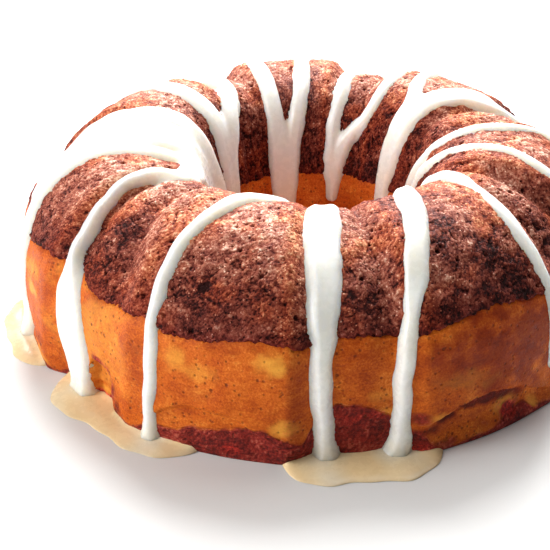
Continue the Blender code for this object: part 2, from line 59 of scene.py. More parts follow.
# the undercut of one broad flute: azimuth, height of its lip, depth, in R
LEDGE = [(15.5, 0.1, 0), (18, 0.112, 0.004), (20, 0.109, 0.012), (21.6, 0.118, 0.02),
         (23.2, 0.131, 0.028), (25.2, 0.147, 0.034), (28, 0.157, 0.036), (31.6, 0.162, 0.036),
         (34.2, 0.157, 0.036), (37, 0.141, 0.036), (39.8, 0.119, 0.036), (42.3, 0.098, 0.034),
         (45, 0.08, 0.026), (48, 0.062, 0.01), (50.5, 0.05, 0)]
ARCH = (-39.9, 3.6, 0.156, 0.034)  # hollow in a narrow flute's foot: azimuth, half width, height, depth
CROWN_OUT, CROWN_IN, FOOT_IN, FOOT_MIN = 0.368, 0.262, 0.060, 0.010
FOOT_PATCHES = [(-12, 17, 0.108), (8.3, 8.5, 0.182), (18.3, 3.4, 0.07), (38, 7, 0.1),
                (-37.2, 3, 0.085), (60, 7, 0.15), (86, 15, 0.11), (131, 12, 0.12), (163, 6.5, 0.15),
                (-170, 14, 0.1), (-146, 7, 0.16), (-116, 11, 0.09), (-95, 6, 0.12)]
# the strands of glaze_run_1, 2 ...: (t, azimuth, width in mm) from the hole's wall to the lower end
RUNS = [
    [[(0.87, -113, 5), (0.79, -111.3, 7), (0.74, -108.6, 9), (0.68, -106.5, 11), (0.61, -105.8, 11.5),
      (0.53, -104.7, 11), (0.44, -104.2, 11), (0.36, -103.8, 9.5), (0.28, -103, 6.5),
      (0.2, -102.6, 6)],
     [(0.84, -111, 6), (0.77, -106.5, 10), (0.71, -101, 13), (0.64, -96.5, 14), (0.56, -95, 15),
      (0.47, -94.5, 15), (0.39, -94, 14.5), (0.32, -91.5, 11)],
     [(0.83, -110, 6), (0.77, -104, 10), (0.71, -94.5, 12), (0.65, -87, 13.5), (0.58, -83.5, 15),
      (0.5, -84, 15.5), (0.42, -84, 15), (0.35, -81.5, 11), (0.3, -77, 8)],
     [(0.82, -109, 6), (0.77, -102, 9), (0.715, -90, 10.5), (0.665, -77.5, 10.5), (0.625, -69, 9.5),
      (0.58, -69.5, 9), (0.53, -72.5, 9), (0.48, -75.5, 9), (0.42, -76.6, 8.5), (0.35, -76, 8),
      (0.3, -75, 7.5), (0.25, -71.5, 6.5), (0.19, -69.5, 6), (0.1, -69, 6), (0, -69.5, 7)],
     [(0.76, -100, 7), (0.715, -84, 8.5), (0.67, -69, 10), (0.63, -57.5, 11.5), (0.6, -55, 10),
      (0.57, -56.2, 8), (0.536, -57.6, 6.8), (0.5, -58, 6.2), (0.462, -57.5, 5.8), (0.43, -56.6, 5.8),
      (0.396, -55.6, 6), (0.336, -53.9, 6.2), (0.283, -52.8, 7), (0.246, -51.4, 10.5),
      (0.19, -49.9, 16.5), (0.15, -49.2, 18.5), (0.118, -48.6, 18.5), (0.095, -47.9, 17.5),
      (0.07, -47.1, 15.5), (0.045, -46.8, 13.5), (0, -46.6, 12.5)]],
    [[(0.66, -8.5, 3.5), (0.615, -13, 6), (0.575, -21, 8), (0.5, -25, 7), (0.43, -27.2, 6),
      (0.36, -28, 5.5), (0.27, -27.6, 5.5), (0.15, -27, 5.5), (0.05, -27.4, 5.8), (0, -27.2, 6.5)]],
    [[(0.8, 5, 8), (0.66, 4, 11.5), (0.58, 3.3, 13), (0.42, 2.5, 13.2), (0.32, 2.4, 12.6),
      (0.25, 2.1, 9.6), (0.15, 2, 8.2), (0.05, 2.7, 7.6), (0, 3, 9)]],
    [[(0.76, 49, 6), (0.67, 43, 7.5), (0.6, 34, 9.2), (0.5, 27, 9.4), (0.42, 22.6, 9),
      (0.35, 19.6, 8.4), (0.3, 17.9, 6.4), (0.25, 16.9, 6.8), (0.18, 16, 7), (0.06, 15.8, 7.8),
      (0, 15.4, 9)]],
    [[(0.78, 75, 6), (0.69, 70, 6.5), (0.62, 61, 6.5), (0.55, 55.5, 6.5), (0.47, 49, 6.2),
      (0.41, 47.2, 6), (0.32, 46.6, 5.8), (0.2, 46.2, 5.5), (0.11, 46.6, 6.2)]],
    [[(0.8, 109, 5), (0.72, 98, 5), (0.66, 87, 4.6), (0.6, 80.8, 4.4), (0.5, 76.6, 4.4),
      (0.42, 73.6, 4.4), (0.3, 72.4, 4.6), (0.16, 72.6, 5), (0.06, 73.4, 6), (0, 73.6, 7)]],
    [[(0.82, 114, 5), (0.7, 106, 4.4), (0.64, 98, 4), (0.56, 95, 4), (0.49, 94.8, 4), (0.43, 95.6, 4),
      (0.33, 97, 4.4), (0.24, 97.6, 5)]],
    [[(0.9, 133.5, 7), (0.8, 133, 9.5), (0.7, 131.3, 11.5), (0.6, 127.8, 12), (0.5, 122, 12),
      (0.42, 118.5, 10), (0.3, 117, 8), (0.15, 116.5, 7), (0, 116.5, 9)],
     [(0.68, 132, 6), (0.6, 135, 7), (0.54, 140, 7), (0.45, 142.5, 6.5), (0.32, 143.5, 6),
      (0.18, 143, 6.5)]],
    [[(0.88, 168.5, 6.5), (0.8, 167, 8.5), (0.74, 162, 7.5), (0.67, 152.5, 6.5), (0.57, 150, 6.5),
      (0.45, 150.6, 6.5), (0.3, 152.5, 6), (0.12, 153, 6.4), (0, 153, 8)],
     [(0.82, 169, 6), (0.72, 170, 6.5), (0.62, 168.3, 6.8), (0.48, 168.6, 6.8), (0.34, 170, 6.2),
      (0.22, 170.6, 6.8)]],
    [[(0.92, -161.5, 9), (0.8, -162, 13), (0.71, -159.5, 9), (0.6, -159.3, 8.4), (0.48, -160.5, 8),
      (0.32, -161.8, 7), (0.14, -162, 7.4), (0, -162, 9)],
     [(0.84, -164, 6), (0.74, -168, 8), (0.64, -173, 8), (0.54, -175, 8), (0.4, -176.5, 7),
      (0.27, -177.3, 7.4)]],
    [[(0.88, -122.5, 8), (0.78, -123.5, 11.5), (0.7, -124, 10), (0.6, -125, 9), (0.48, -124.6, 9),
      (0.34, -123.6, 7.6), (0.2, -122.8, 7), (0, -122.4, 8)],
     [(0.76, -125, 7), (0.69, -132, 9.5), (0.6, -141, 10), (0.5, -144.6, 10), (0.38, -146, 8),
      (0.24, -146.6, 8.2)]],
]
# outlines of the pools: (azimuth, radius in R)
POOLS = {
    "glaze_pool_left": [
        (-84, 1), (-80, 1.035), (-74, 1.055), (-67, 1.06), (-61, 1.045), (-57, 1)],
    "glaze_pool_front_left": [
        (-53, 0.98), (-49, 1.035), (-42, 1.055), (-34, 1.05), (-27, 1.062), (-22, 1.045), (-18, 1)],
    "glaze_pool_front": [
        (-5, 0.99), (-1, 1.045), (4, 1.068), (10, 1.06), (16, 1.064), (20, 1.04), (24, 0.99)],
    "glaze_pool_right": [
        (62, 0.98), (67, 1.03), (74, 1.05), (82, 1.032), (88, 1.015), (93, 0.98)],
    "glaze_pool_back": [
        (145, 0.98), (151, 1.04), (160, 1.04), (170, 1.045), (180, 1.066), (190, 1.055), (198, 1.05),
        (204, 1)],
    "glaze_pool_back_left": [
        (-132, 0.98), (-127, 1.03), (-122, 1.045), (-117, 1.03), (-112, 0.98)],
    "glaze_pool_back_right": [
        (108, 0.98), (112, 1.03), (117, 1.045), (122, 1.03), (126, 0.98)],
}
POOL_H = 0.0012

# ---- looks only
# where the layers meet on the outer wall in front, as seen: (azimuth, height in R)
CROWN_EDGE = [
    (-80, 0.362), (-68, 0.352), (-59, 0.388), (-53, 0.383), (-45, 0.354), (-40, 0.347), (-29, 0.372),
    (-25, 0.349), (-18, 0.352), (-10, 0.371), (-4, 0.364), (-1.5, 0.348), (0.5, 0.349), (2, 0.364),
    (10, 0.367), (16, 0.353), (20, 0.378), (28, 0.397), (34, 0.403), (41, 0.385), (50, 0.372)]
FOOT_EDGE = [
    (-70, 0.012), (-45, 0.012), (-43, 0.03), (-38, 0.034), (-35, 0.024), (-31, 0.02), (-26, 0.053),
    (-21.6, 0.067), (-14.6, 0.091), (-9.6, 0.112), (-6.2, 0.098), (-3, 0.08), (-1, 0.07), (1.5, 0.12),
    (4.5, 0.182), (8.8, 0.178), (13.8, 0.137), (16, 0.075), (19.5, 0.066), (20.5, 0.04), (22.5, 0.014),
    (33, 0.014), (36, 0.046), (41, 0.05), (45, 0.016), (50, 0.012)]
# red stains on the golden wall: (azimuth, height, half width, half height, strength); the thin dark red
# line along the arch's top (-40.8) is partly painted shadow under its lip
STAINS_AND_SHADOW = [
    (-61, 0.076, 5.5, 0.05, 0.5), (-66, 0.05, 4, 0.035, 0.4), (-40.8, 0.165, 2.6, 0.012, 0.95),
    (-37.8, 0.14, 1.2, 0.028, 0.85), (-36.4, 0.088, 1.3, 0.04, 0.8), (-35, 0.045, 1.7, 0.036, 0.75),
    (36.5, 0.04, 3.8, 0.038, 1), (33, 0.128, 7, 0.018, 0.45), (39, 0.105, 2.8, 0.025, 0.35),
    (18.6, 0.125, 2.2, 0.026, 0.8), (17.8, 0.045, 2.4, 0.05, 0.95), (22.5, 0.02, 3, 0.016, 0.7),
    (-3, 0.11, 1.6, 0.05, 0.3), (44, 0.1, 2, 0.05, 0.2), (84, 0.13, 7, 0.03, 0.45),
    (-118, 0.11, 6, 0.03, 0.5), (150, 0.12, 5, 0.04, 0.5)]
# yellow spots where the batter is hardly browned, in the same way
YELLOWS = [
    (-22.8, 0.295, 2.4, 0.036, 0.6), (-6.2, 0.322, 2.8, 0.034, 0.95), (-18.8, 0.262, 3.2, 0.03, 0.4),
    (-4.2, 0.118, 2.4, 0.03, 0.95), (-40.2, 0.29, 0.7, 0.03, 0.55), (-38.2, 0.318, 1.6, 0.012, 0.45),
    (-35, 0.25, 3.4, 0.05, 0.25), (-44, 0.2, 10, 0.17, 0.4), (-62, 0.24, 3.5, 0.022, 0.8),
    (-64, 0.3, 4, 0.03, 0.5), (-41.2, 0.028, 2.2, 0.026, 0.9), (-60, 0.028, 5, 0.02, 0.8),
    (22.5, 0.124, 3, 0.014, 0.55), (12, 0.2, 3, 0.02, 0.25), (26, 0.22, 5, 0.03, 0.2),
    (42.5, 0.035, 1.6, 0.03, 0.7), (36.2, 0.06, 3, 0.03, 1), (-12.8, 0.034, 1.8, 0.014, 0.8),
    (9.5, 0.14, 5, 0.016, 0.55), (18.5, 0.02, 2.2, 0.02, 0.6), (100, 0.27, 5, 0.03, 0.6),
    (160, 0.28, 4, 0.04, 0.6), (-150, 0.27, 4, 0.04, 0.6)]
# browner, darker stretches of the golden wall, in the same way: some real browning, and painted shade on
# the broad flute turned from the light (20 to 40 degrees), on the flank near -2, in the groove near -44,
# just below the crown's edge and inside the arch; marks stronger than 1 darken still more, as painted
# shadow under that flute's lip and on its shaded face
BROWNS_AND_SHADE = [
    (39, 0.28, 17, 0.2, 1.2), (24, 0.3, 4, 0.07, 0.9), (20.6, 0.08, 2.4, 0.022, 1.4),
    (24, 0.104, 3.2, 0.026, 1.6), (28, 0.122, 3.6, 0.03, 1.7), (32, 0.124, 3.6, 0.034, 1.7),
    (36, 0.112, 3.2, 0.028, 1.5), (39.4, 0.092, 2.6, 0.022, 1.3), (-43.5, 0.3, 3.5, 0.07, 0.45),
    (-2.2, 0.2, 1.5, 0.2, 0.55), (-12.5, 0.36, 8, 0.018, 0.35), (10, 0.34, 8, 0.03, 0.35),
    (-39.8, 0.09, 2.2, 0.05, 0.7), (-29.5, 0.2, 2.6, 0.1, 0.25), (-50, 0.1, 6, 0.05, 0.3),
    (130, 0.22, 9, 0.1, 0.6), (-160, 0.2, 12, 0.1, 0.5), (72, 0.2, 6, 0.14, 0.5)]
# darker places on the crown, in the same way, with height as SECTION_SCALE * t: damp patches, and painted
# shade on the broad flute turned from the light (24 to 39 degrees) and in the groove near -44
DAMP_AND_SHADE = [
    (-44.5, 0.64, 3.6, 0.12, 0.75), (-42, 0.52, 5, 0.1, 0.35), (27.5, 0.78, 9, 0.16, 1.1),
    (-12.9, 0.5, 6.5, 0.05, 0.3), (-20.5, 0.455, 4.5, 0.035, 0.25), (-5, 0.5, 2.2, 0.05, 0.45),
    (38.5, 0.49, 7, 0.12, 1.1), (33, 0.66, 5, 0.06, 0.45), (24, 0.44, 3.5, 0.05, 0.5),
    (10, 0.5, 4, 0.05, 0.55), (-57, 0.5, 3, 0.1, 0.4), (120, 0.5, 7, 0.12, 0.7),
    (-140, 0.55, 7, 0.12, 0.7), (170, 0.45, 7, 0.08, 0.6)]
SECTION_SCALE = 1.52  # height in R that one unit of t climbs on the outer wall
CROWN_COLUMNS, WALL_COLUMNS, SECTORS = 1260, 900, 3


# ---- the form, as in the solids
def natural_spline(knots, values):
    """Natural cubic spline through values at knots; returns a function."""
    x, y = np.asarray(knots, float), np.asarray(values, float)
    n, h = len(x), np.diff(x)
    a = np.eye(n)
    b = np.zeros((n,) + y.shape[1:])
    slope = np.diff(y, axis=0) / h.reshape((-1,) + (1,) * (y.ndim - 1))
    for i in range(1, n - 1):
        a[i, i - 1:i + 2] = h[i - 1], 2 * (h[i - 1] + h[i]), h[i]
        b[i] = 6 * (slope[i] - slope[i - 1])
    m = np.linalg.solve(a, b)

    def at(q):
        q = np.clip(np.asarray(q, float), x[0], x[-1])
        k = np.clip(np.searchsorted(x, q, side="right") - 1, 0, n - 2)
        shape = q.shape + (1,) * (y.ndim - 1)
        w, s = h[k].reshape(shape), (q - x[k]).reshape(shape)
        return (y[k] + s * (slope[k] - w * (2 * m[k] + m[k + 1]) / 6)
                + s ** 2 * m[k] / 2 + s ** 3 * (m[k + 1] - m[k]) / (6 * w))
    return at


along = np.r_[0, np.cumsum(np.linalg.norm(np.diff(PROFILE, axis=0), axis=1))]
section = natural_spline(along / along[-1], PROFILE)
SECTION_M = along[-1] * R  # metres along the section from t = 0 to 1
groove_depth = natural_spline(DEPTH_T, DEPTH)
narrow_rise = natural_spline(DEPTH_T, NARROW_RISE)


def smooth(x):
    x = np.clip(x, 0, 1)
    return x * x * (3 - 2 * x)


def unit(vectors):
    return vectors / np.maximum(np.linalg.norm(vectors, axis=-1, keepdims=True), 1e-12)


def flute_phase(azimuth):
    """Whole numbers at broad flutes' centres, halves at narrow ones."""
    centres = BROAD + [BROAD[0] + 360]
    wrapped = (np.asarray(azimuth, float) - BROAD[0]) % 360 + BROAD[0]
    return np.interp(wrapped, centres, np.arange(8.0))


def flute_depth(phase, t):
    """0 on a broad face, 1 in a groove, less on a narrow flute; grooves are sharp towards the crest."""
    d = np.abs(phase - np.round(phase))
    x = np.clip((d - FACE_HALF) / (GROOVE - FACE_HALF), 0, 1)
    y = np.clip((d - GROOVE) / ((0.5 - GROOVE) * 0.8), 0, 1)
    sharp = 0.9 * smooth((t - 0.27) / 0.10)
    down = smooth(x) - sharp * x * x * (1 - x)
    up = smooth(y) + sharp * y * (1 - y) ** 2
    return down - narrow_rise(t) * up


def recess(azimuth, z, share):
    """Undercut below the lip near the foot, in R, at height z (in R), or a share of it."""
    phase = flute_phase(azimuth)
    k = np.round(phase).astype(int) % 7
    d = np.abs(phase - np.round(phase))
    broad = np.array(RECESS_BROAD)[k] * smooth((0.30 - d) / 0.16)
    narrow = np.array(RECESS_NARROW)[np.floor(phase).astype(int) % 7] * smooth((d - 0.36) / 0.08)
    lip = LIP_LOW + (LIP_HIGH - LIP_LOW) * smooth((0.27 - d) / 0.22)
    below = smooth((lip - z) / 0.018)
    flare = 1 - 0.75 * smooth((0.07 - z) / 0.07)
    where, top, deep = zip(*LEDGE)
    ledge = np.interp(azimuth, where, deep) * smooth((np.interp(azimuth, where, top) - z) / 0.014) * flare
    u = np.clip(np.abs(azimuth - ARCH[0]) / ARCH[1], 0, 1)
    arch = ARCH[3] * smooth((1 - u) / 0.28) * smooth((ARCH[2] * np.sqrt(1 - u ** 6) - z) / 0.014)
    return ((broad + narrow) * below * flare + ledge) * share + arch * share ** 3


def skin(azimuth, t, undercut=1.0):
    """Points on the cake's skin, metres, for arrays of azimuth (degrees) and t."""
    azimuth, t = np.broadcast_arrays(np.asarray(azimuth, float), np.asarray(t, float))
    p = section(t)
    q = unit(section(np.clip(t + 1e-4, 0, 1)) - section(np.clip(t - 1e-4, 0, 1)))
    lean = np.interp(azimuth, *zip(*LEAN)) * smooth((t - 0.25) / 0.27)
    depth = flute_depth(flute_phase(azimuth + lean), t) * groove_depth(t)
    lost = np.exp(-((azimuth - SHALLOW[0]) / SHALLOW[1]) ** 2) * smooth((0.34 - t) / 0.14)
    depth = depth * (1 - SHALLOW[2] * lost)
    r = p[..., 0] - depth * q[..., 1]
    z = p[..., 1] + depth * q[..., 0] * smooth(p[..., 1] / 0.12)
    r = r - np.where(t < 0.4, recess(azimuth, z, undercut), 0)
    a = np.radians(azimuth)
    return np.stack([r * np.sin(a), -r * np.cos(a), np.maximum(z, 0)], -1) * R


def skin_normal(azimuth, t, undercut):
    t = np.clip(t, 0.004, 0.996)
    da = skin(azimuth + 0.3, t, undercut) - skin(azimuth - 0.3, t, undercut)
    dt = skin(azimuth, t + 0.004, undercut) - skin(azimuth, t - 0.004, undercut)
    return unit(np.cross(da, dt))


def wobble(azimuth, seed, low=5, high=27):
    """Gentle unevenness round the ring, about -1 to 1."""
    rng = np.random.default_rng(seed)
    total = 0
    for k in range(low, high, 2):
        total = total + math.sqrt(low / k) * np.sin(np.radians(k * azimuth) + rng.uniform(0, math.tau))
    return total / 3


def in_front(azimuth, lo, hi):
    """1 where the photo shows the wall, 0 round the back, with a soft change."""
    return smooth((azimuth - lo) / 8) * smooth((hi - azimuth) / 6)


def patch_height(azimuth):
    """Height of the foot layer at the outer wall, in R."""
    best = np.full(np.shape(azimuth), FOOT_MIN)
    for centre, half, height in FOOT_PATCHES:
        d = np.abs((azimuth - centre + 180) % 360 - 180) / half
        best = np.maximum(best, FOOT_MIN + (height - FOOT_MIN) * smooth((1 - d) * 1.9))
    best = best + 0.004 * wobble(azimuth, 3) * (best > 0.03)
    seen = np.interp(azimuth, *zip(*FOOT_EDGE))
    w = in_front(azimuth, -74, 54)
    return best * (1 - w) + (seen + 0.003 * wobble(azimuth, 13, 31, 90)) * w


def crown_height(azimuth):
    """Lower edge of the crown at the outer wall, in R."""
    broad = smooth((0.3 - np.abs(flute_phase(azimuth) - np.round(flute_phase(azimuth)))) / 0.3)
    best = CROWN_OUT + 0.012 * (broad - 0.5) + 0.012 * wobble(azimuth, 8)
    w = in_front(azimuth, -82, 54)
    best = best * (1 - w) + np.interp(azimuth, *zip(*CROWN_EDGE)) * w
    return best + 0.0011 * wobble(azimuth, 21, 61, 181) + 0.0006 * wobble(azimuth, 22, 181, 401)


def inner_edge(azimuth):
    """Lower edge of the crown at the hole's wall, in R."""
    return CROWN_IN + 0.006 * wobble(azimuth, 5)


def t_at_height(azimuths, heights, outer):
    """t where columns of the skin pass the given heights (in R), on the outer or the hole's wall."""
    t = np.linspace(0, 0.5, 260) if outer else np.linspace(1, 0.6, 200)
    z = skin(np.asarray(azimuths)[:, None], t[None, :])[..., 2] / R
    z = np.maximum.accumulate(z, axis=1)
    return np.array([np.interp(h, row, t) for h, row in zip(heights, z)])


# ---- noise
def lattice(cell, seed):
    """A fixed random number from 0 to 1 at each lattice point; cell is (n, 3) whole numbers."""
    x, y, z = cell.astype(np.int64).astype(np.uint32).T
    h = (x * np.uint32(0x8DA6B343)) ^ (y * np.uint32(0xD8163841)) ^ (z * np.uint32(0xCB1AB31F))
    h = h + np.uint32((seed * 0x9E3779B1) & 0xFFFFFFFF)
    for shift, factor in ((15, 0x2C1B3C6D), (12, 0x297A2D39), (15, 0x1B56C4E9)):
        h = (h ^ (h >> np.uint32(shift))) * np.uint32(factor)
    return ((h ^ (h >> np.uint32(14))) >> np.uint32(8)).astype(np.float32) / 16777216.0


def turned(p, seed):
    """The points turned a fixed amount, so that no lattice lines up with the cake."""
    a, b = 0.7 + seed * 1.3, 0.4 + seed * 0.9
    u = np.array([[math.cos(a), -math.sin(a), 0], [math.sin(a), math.cos(a), 0], [0, 0, 1]])
    v = np.array([[1, 0, 0], [0, math.cos(b), -math.sin(b)], [0, math.sin(b), math.cos(b)]])
    return p @ (u @ v)


def noise(p, size, seed):
    """Smooth noise, about -1 to 1, with blobs of the given size in metres; p is (..., 3)."""
    shape = p.shape[:-1]
    q = turned(p.reshape(-1, 3), seed) / size
    i = np.floor(q)
    f = (q - i).astype(np.float32)
    f = f * f * f * (f * (f * 6 - 15) + 10)
    total = np.zeros(len(q), np.float32)
    for k in range(8):
        corner = np.array([k & 1, k >> 1 & 1, k >> 2 & 1])
        w = np.prod(np.where(corner, f, 1 - f), axis=1)
        total += w * lattice(i + corner, seed)
    return ((total * 2 - 1) * 1.5).reshape(shape)


def fractal(p, size, seed):
    """Three layers of noise, each half as large as the last and a little over half as strong."""
    gains = [0.55 ** k for k in range(3)]
    layers = [gain * noise(p, size / 2 ** k, seed + 17 * k) for k, gain in enumerate(gains)]
    return sum(layers) / sum(gains)


OFFSETS = np.array([(i, j, k) for i in (-1, 0, 1) for j in (-1, 0, 1) for k in (-1, 0, 1)])


def grains(p, size, seed):
    """(height, shade) of packed round crumbs: height falls from 1 on top of each to 0 between them."""
    q = turned(p, seed) / size
    home = np.floor(q)
    near, second = np.full(len(q), 9, np.float32), np.full(len(q), 9, np.float32)
    shade = np.zeros(len(q), np.float32)
    for offset in OFFSETS:
        cell = home + offset
        centre = cell + 0.5 + 0.8 * (np.stack([lattice(cell, seed + s) for s in (1, 2, 3)], 1) - 0.5)
        d = np.linalg.norm(q - centre, axis=1).astype(np.float32)
        tone = lattice(cell, seed + 4)
        closer = d < near
        second = np.where(closer, near, np.minimum(second, d))
        shade = np.where(closer, tone, shade)
        near = np.where(closer, d, near)
    return np.clip((second - near) * 2.2, 0, 1) ** 0.6, shade


def hollows(p, size, seed, small, large, share):
    """0 to 1, deep in scattered round pits; share is how many lattice cells have one."""
    q = turned(p, seed) / size
    home = np.floor(q)
    deep = np.zeros(len(q), np.float32)
    for offset in OFFSETS:
        cell = home + offset
        centre = cell + np.stack([lattice(cell, seed + s) for s in (1, 2, 3)], 1)
        radius = (small + (large - small) * lattice(cell, seed + 4) ** 2) / size
        here = lattice(cell, seed + 5) < share
        d2 = ((q - centre) ** 2).sum(1) / radius ** 2
        deep = np.maximum(deep, np.where(here, np.clip(1 - d2, 0, 1), 0))
    return deep


def in_parts(function, p, *more):
    """Runs a function of many points a slice at a time; it returns a tuple of arrays."""
    step = 60000  # keeps the memory small
    out = [function(p[k:k + step], *(m[k:k + step] for m in more)) for k in range(0, len(p), step)]
    return [np.concatenate(part) for part in zip(*out)]


# ---- meshes
UV_MARGIN = 0.01


def grid_normals(points, ring=False):
    """Normals of a grid (columns, rows, 3); a ring's columns go right round the cake."""
    across = np.roll(points, -1, 0) - np.roll(points, 1, 0) if ring else np.gradient(points, axis=0)
    return unit(np.cross(across, np.gradient(points, axis=1)))


def new_piece(name, points, faces, uv, attributes, material, stands_for, normals=None):
    """A mesh of quads that stands in for a CAD node; attributes and normals are per point."""
    used, flat = np.unique(faces, return_inverse=True)
    flat = flat.reshape(-1)
    mesh = bpy.data.meshes.new(name)
    mesh.vertices.add(len(used))
    mesh.vertices.foreach_set("co", points.reshape(-1, 3)[used].astype(np.float32).ravel())
    mesh.loops.add(len(flat))
    mesh.loops.foreach_set("vertex_index", flat.astype(np.int32))
    mesh.polygons.add(len(faces))
    mesh.polygons.foreach_set("loop_start", np.arange(0, len(flat), 4, dtype=np.int32))
    mesh.update(calc_edges=True)
    mesh.validate()
    for key, values in attributes.items():
        layer = mesh.attributes.new(key, "FLOAT", "POINT")
        layer.data.foreach_set("value", values.reshape(-1)[used].astype(np.float32))
    layer = mesh.uv_layers.new(name="OFBake")
    layer.data.foreach_set("uv", (uv * (1 - 2 * UV_MARGIN) + UV_MARGIN).astype(np.float32).ravel())
    mesh.shade_smooth()
    if normals is not None:
        mesh.normals_split_custom_set_from_vertices(normals.reshape(-1, 3)[used].astype(np.float32))
    mesh.materials.append(material)
    obj = bpy.data.objects.new(name, mesh)
    bpy.context.scene.collection.objects.link(obj)
    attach(obj, "root")
    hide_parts(stands_for)


def quads(columns, rows, ring=False, closed=True):
    """Faces of a grid whose point (i, j) has number i * rows + j, and their corners' (i, j)."""
    i, j = np.meshgrid(np.arange(columns - (not ring)), np.arange(rows - (not closed)), indexing="ij")
    i, j = i.ravel(), j.ravel()
    corners = [(i, j), (i + 1, j), (i + 1, j + 1), (i, j + 1)]
    faces = np.stack([a % columns * rows + b % rows for a, b in corners], 1)
    places = np.stack([np.stack(corner, 1) for corner in corners], 1)
    return faces, places


# ---- relief of the layers; sizes and depths in metres
GRAIN, WALL_GRAIN = 0.0015, 0.0019
PIT_DEPTH, HOLE_DEPTH, CRACK_DEPTH, WALL_PIT_DEPTH = 0.0014, 0.0007, 0.00045, 0.0010
CRUMBLE, LIP_RADIUS = 0.004, 0.0015
ROW_OUTSIDE, ROW_INSIDE_MORE = 0.00054, 0.0004  # spacing of the crown's rows
TUCKED = 0.0022  # how far the golden layer goes on behind the crown's edge
GOLD_ROWS, GOLD_INNER_ROWS, FOOT_ROWS, FOOT_INNER_ROWS = 58, 24, 22, 9
LOW_INSIDE, HIGH_INSIDE = 0.065, 0.30  # where the walls' sections close inside, in R


def stretch_rows(t0, t1, spacing):
    """Fractions from 0 to 1 between t0 and t1, spaced in metres as spacing(t) says."""
    t, out = t0, [t0]
    while t < t1:
        t += spacing(t) / SECTION_M
        out.append(t)
    out = np.array(out)
    return (out - out[0]) / (out[-1] - out[0])


def rough_skin(p):
    """Unevenness that all layers share: gentle dents and swellings, in metres."""
    return 0.00035 * noise(p, 0.017, 5) + 0.00016 * noise(p, 0.007, 6)


def crown_relief(p, edge):
    """(offset, grain, shade, pit, moist) at points of the crown; edge is metres from its lower edges."""
    open_crumb = smooth(0.5 + 0.75 * noise(p, 0.019, 31) + 0.35 * noise(p, 0.006, 32))
    height, shade = grains(p, GRAIN, 41)
    lump = fractal(p, 2 * GRAIN, 45)
    pit = hollows(p, 0.0043, 57, 0.0005, 0.0014, 0.24 + 0.36 * open_crumb)
    hole = hollows(p, 0.0021, 61, 0.00035, 0.00080, 0.34 + 0.44 * open_crumb)
    torn = smooth(0.35 + 1.1 * noise(p, 0.013, 35))
    crack = smooth(1 - np.abs(noise(p, 0.0046, 36)) / 0.15) * torn
    crumble = np.clip(1 - edge / CRUMBLE, 0, 1)
    offset = rough_skin(p) + 0.00018 * noise(p, 0.0036, 47)
    offset += (0.00016 + 0.00022 * open_crumb + 0.00012 * crumble) * (height - 0.6)
    offset += (0.00020 + 0.00016 * open_crumb) * lump - CRACK_DEPTH * crack
    offset -= PIT_DEPTH * pit ** 0.7 + HOLE_DEPTH * hole ** 0.7
    offset += 0.00022 * crumble * noise(p, 0.0032, 71)
    # marks for the colour: grain is high on the lumps' tops, painted lighter, partly as painted light; deep
    # is how far into a pit, hole or crack, painted darker as shade
    grain = 0.5 * height + 0.5 * np.clip(0.5 + 0.6 * lump, 0, 1)
    deep = np.clip(pit + 0.8 * hole + 0.75 * crack, 0, 1)
    moist_and_shade = smooth(0.32 + 0.4 * noise(p, 0.026, 81) + 0.30 * noise(p, 0.008, 82))
    return offset, grain, shade, deep, moist_and_shade


def overhang(edge):
    """How far the crown stands out near its lower edge, rounded under, in metres."""
    x = np.clip(edge / LIP_RADIUS, 0, 1)
    return -0.0012 + 0.0016 * np.sqrt(1 - (1 - x) ** 2) - 0.0004 * smooth(edge / 0.011)


def spots(azimuth, z, marks, p):
    """Strength of the listed soft marks at points of the skin, ragged at their edges."""
    total = np.zeros(azimuth.shape)
    rag = 0.35 * noise(p, 0.0052, 91) + 0.20 * noise(p, 0.0021, 92)
    for a, h, wide, tall, strength in marks:
        d = np.hypot(((azimuth - a + 180) % 360 - 180) / wide, (z - h) / tall)
        total = np.maximum(total, strength * smooth(1.35 - d - rag * min(1.0, wide / 4)))
    return total


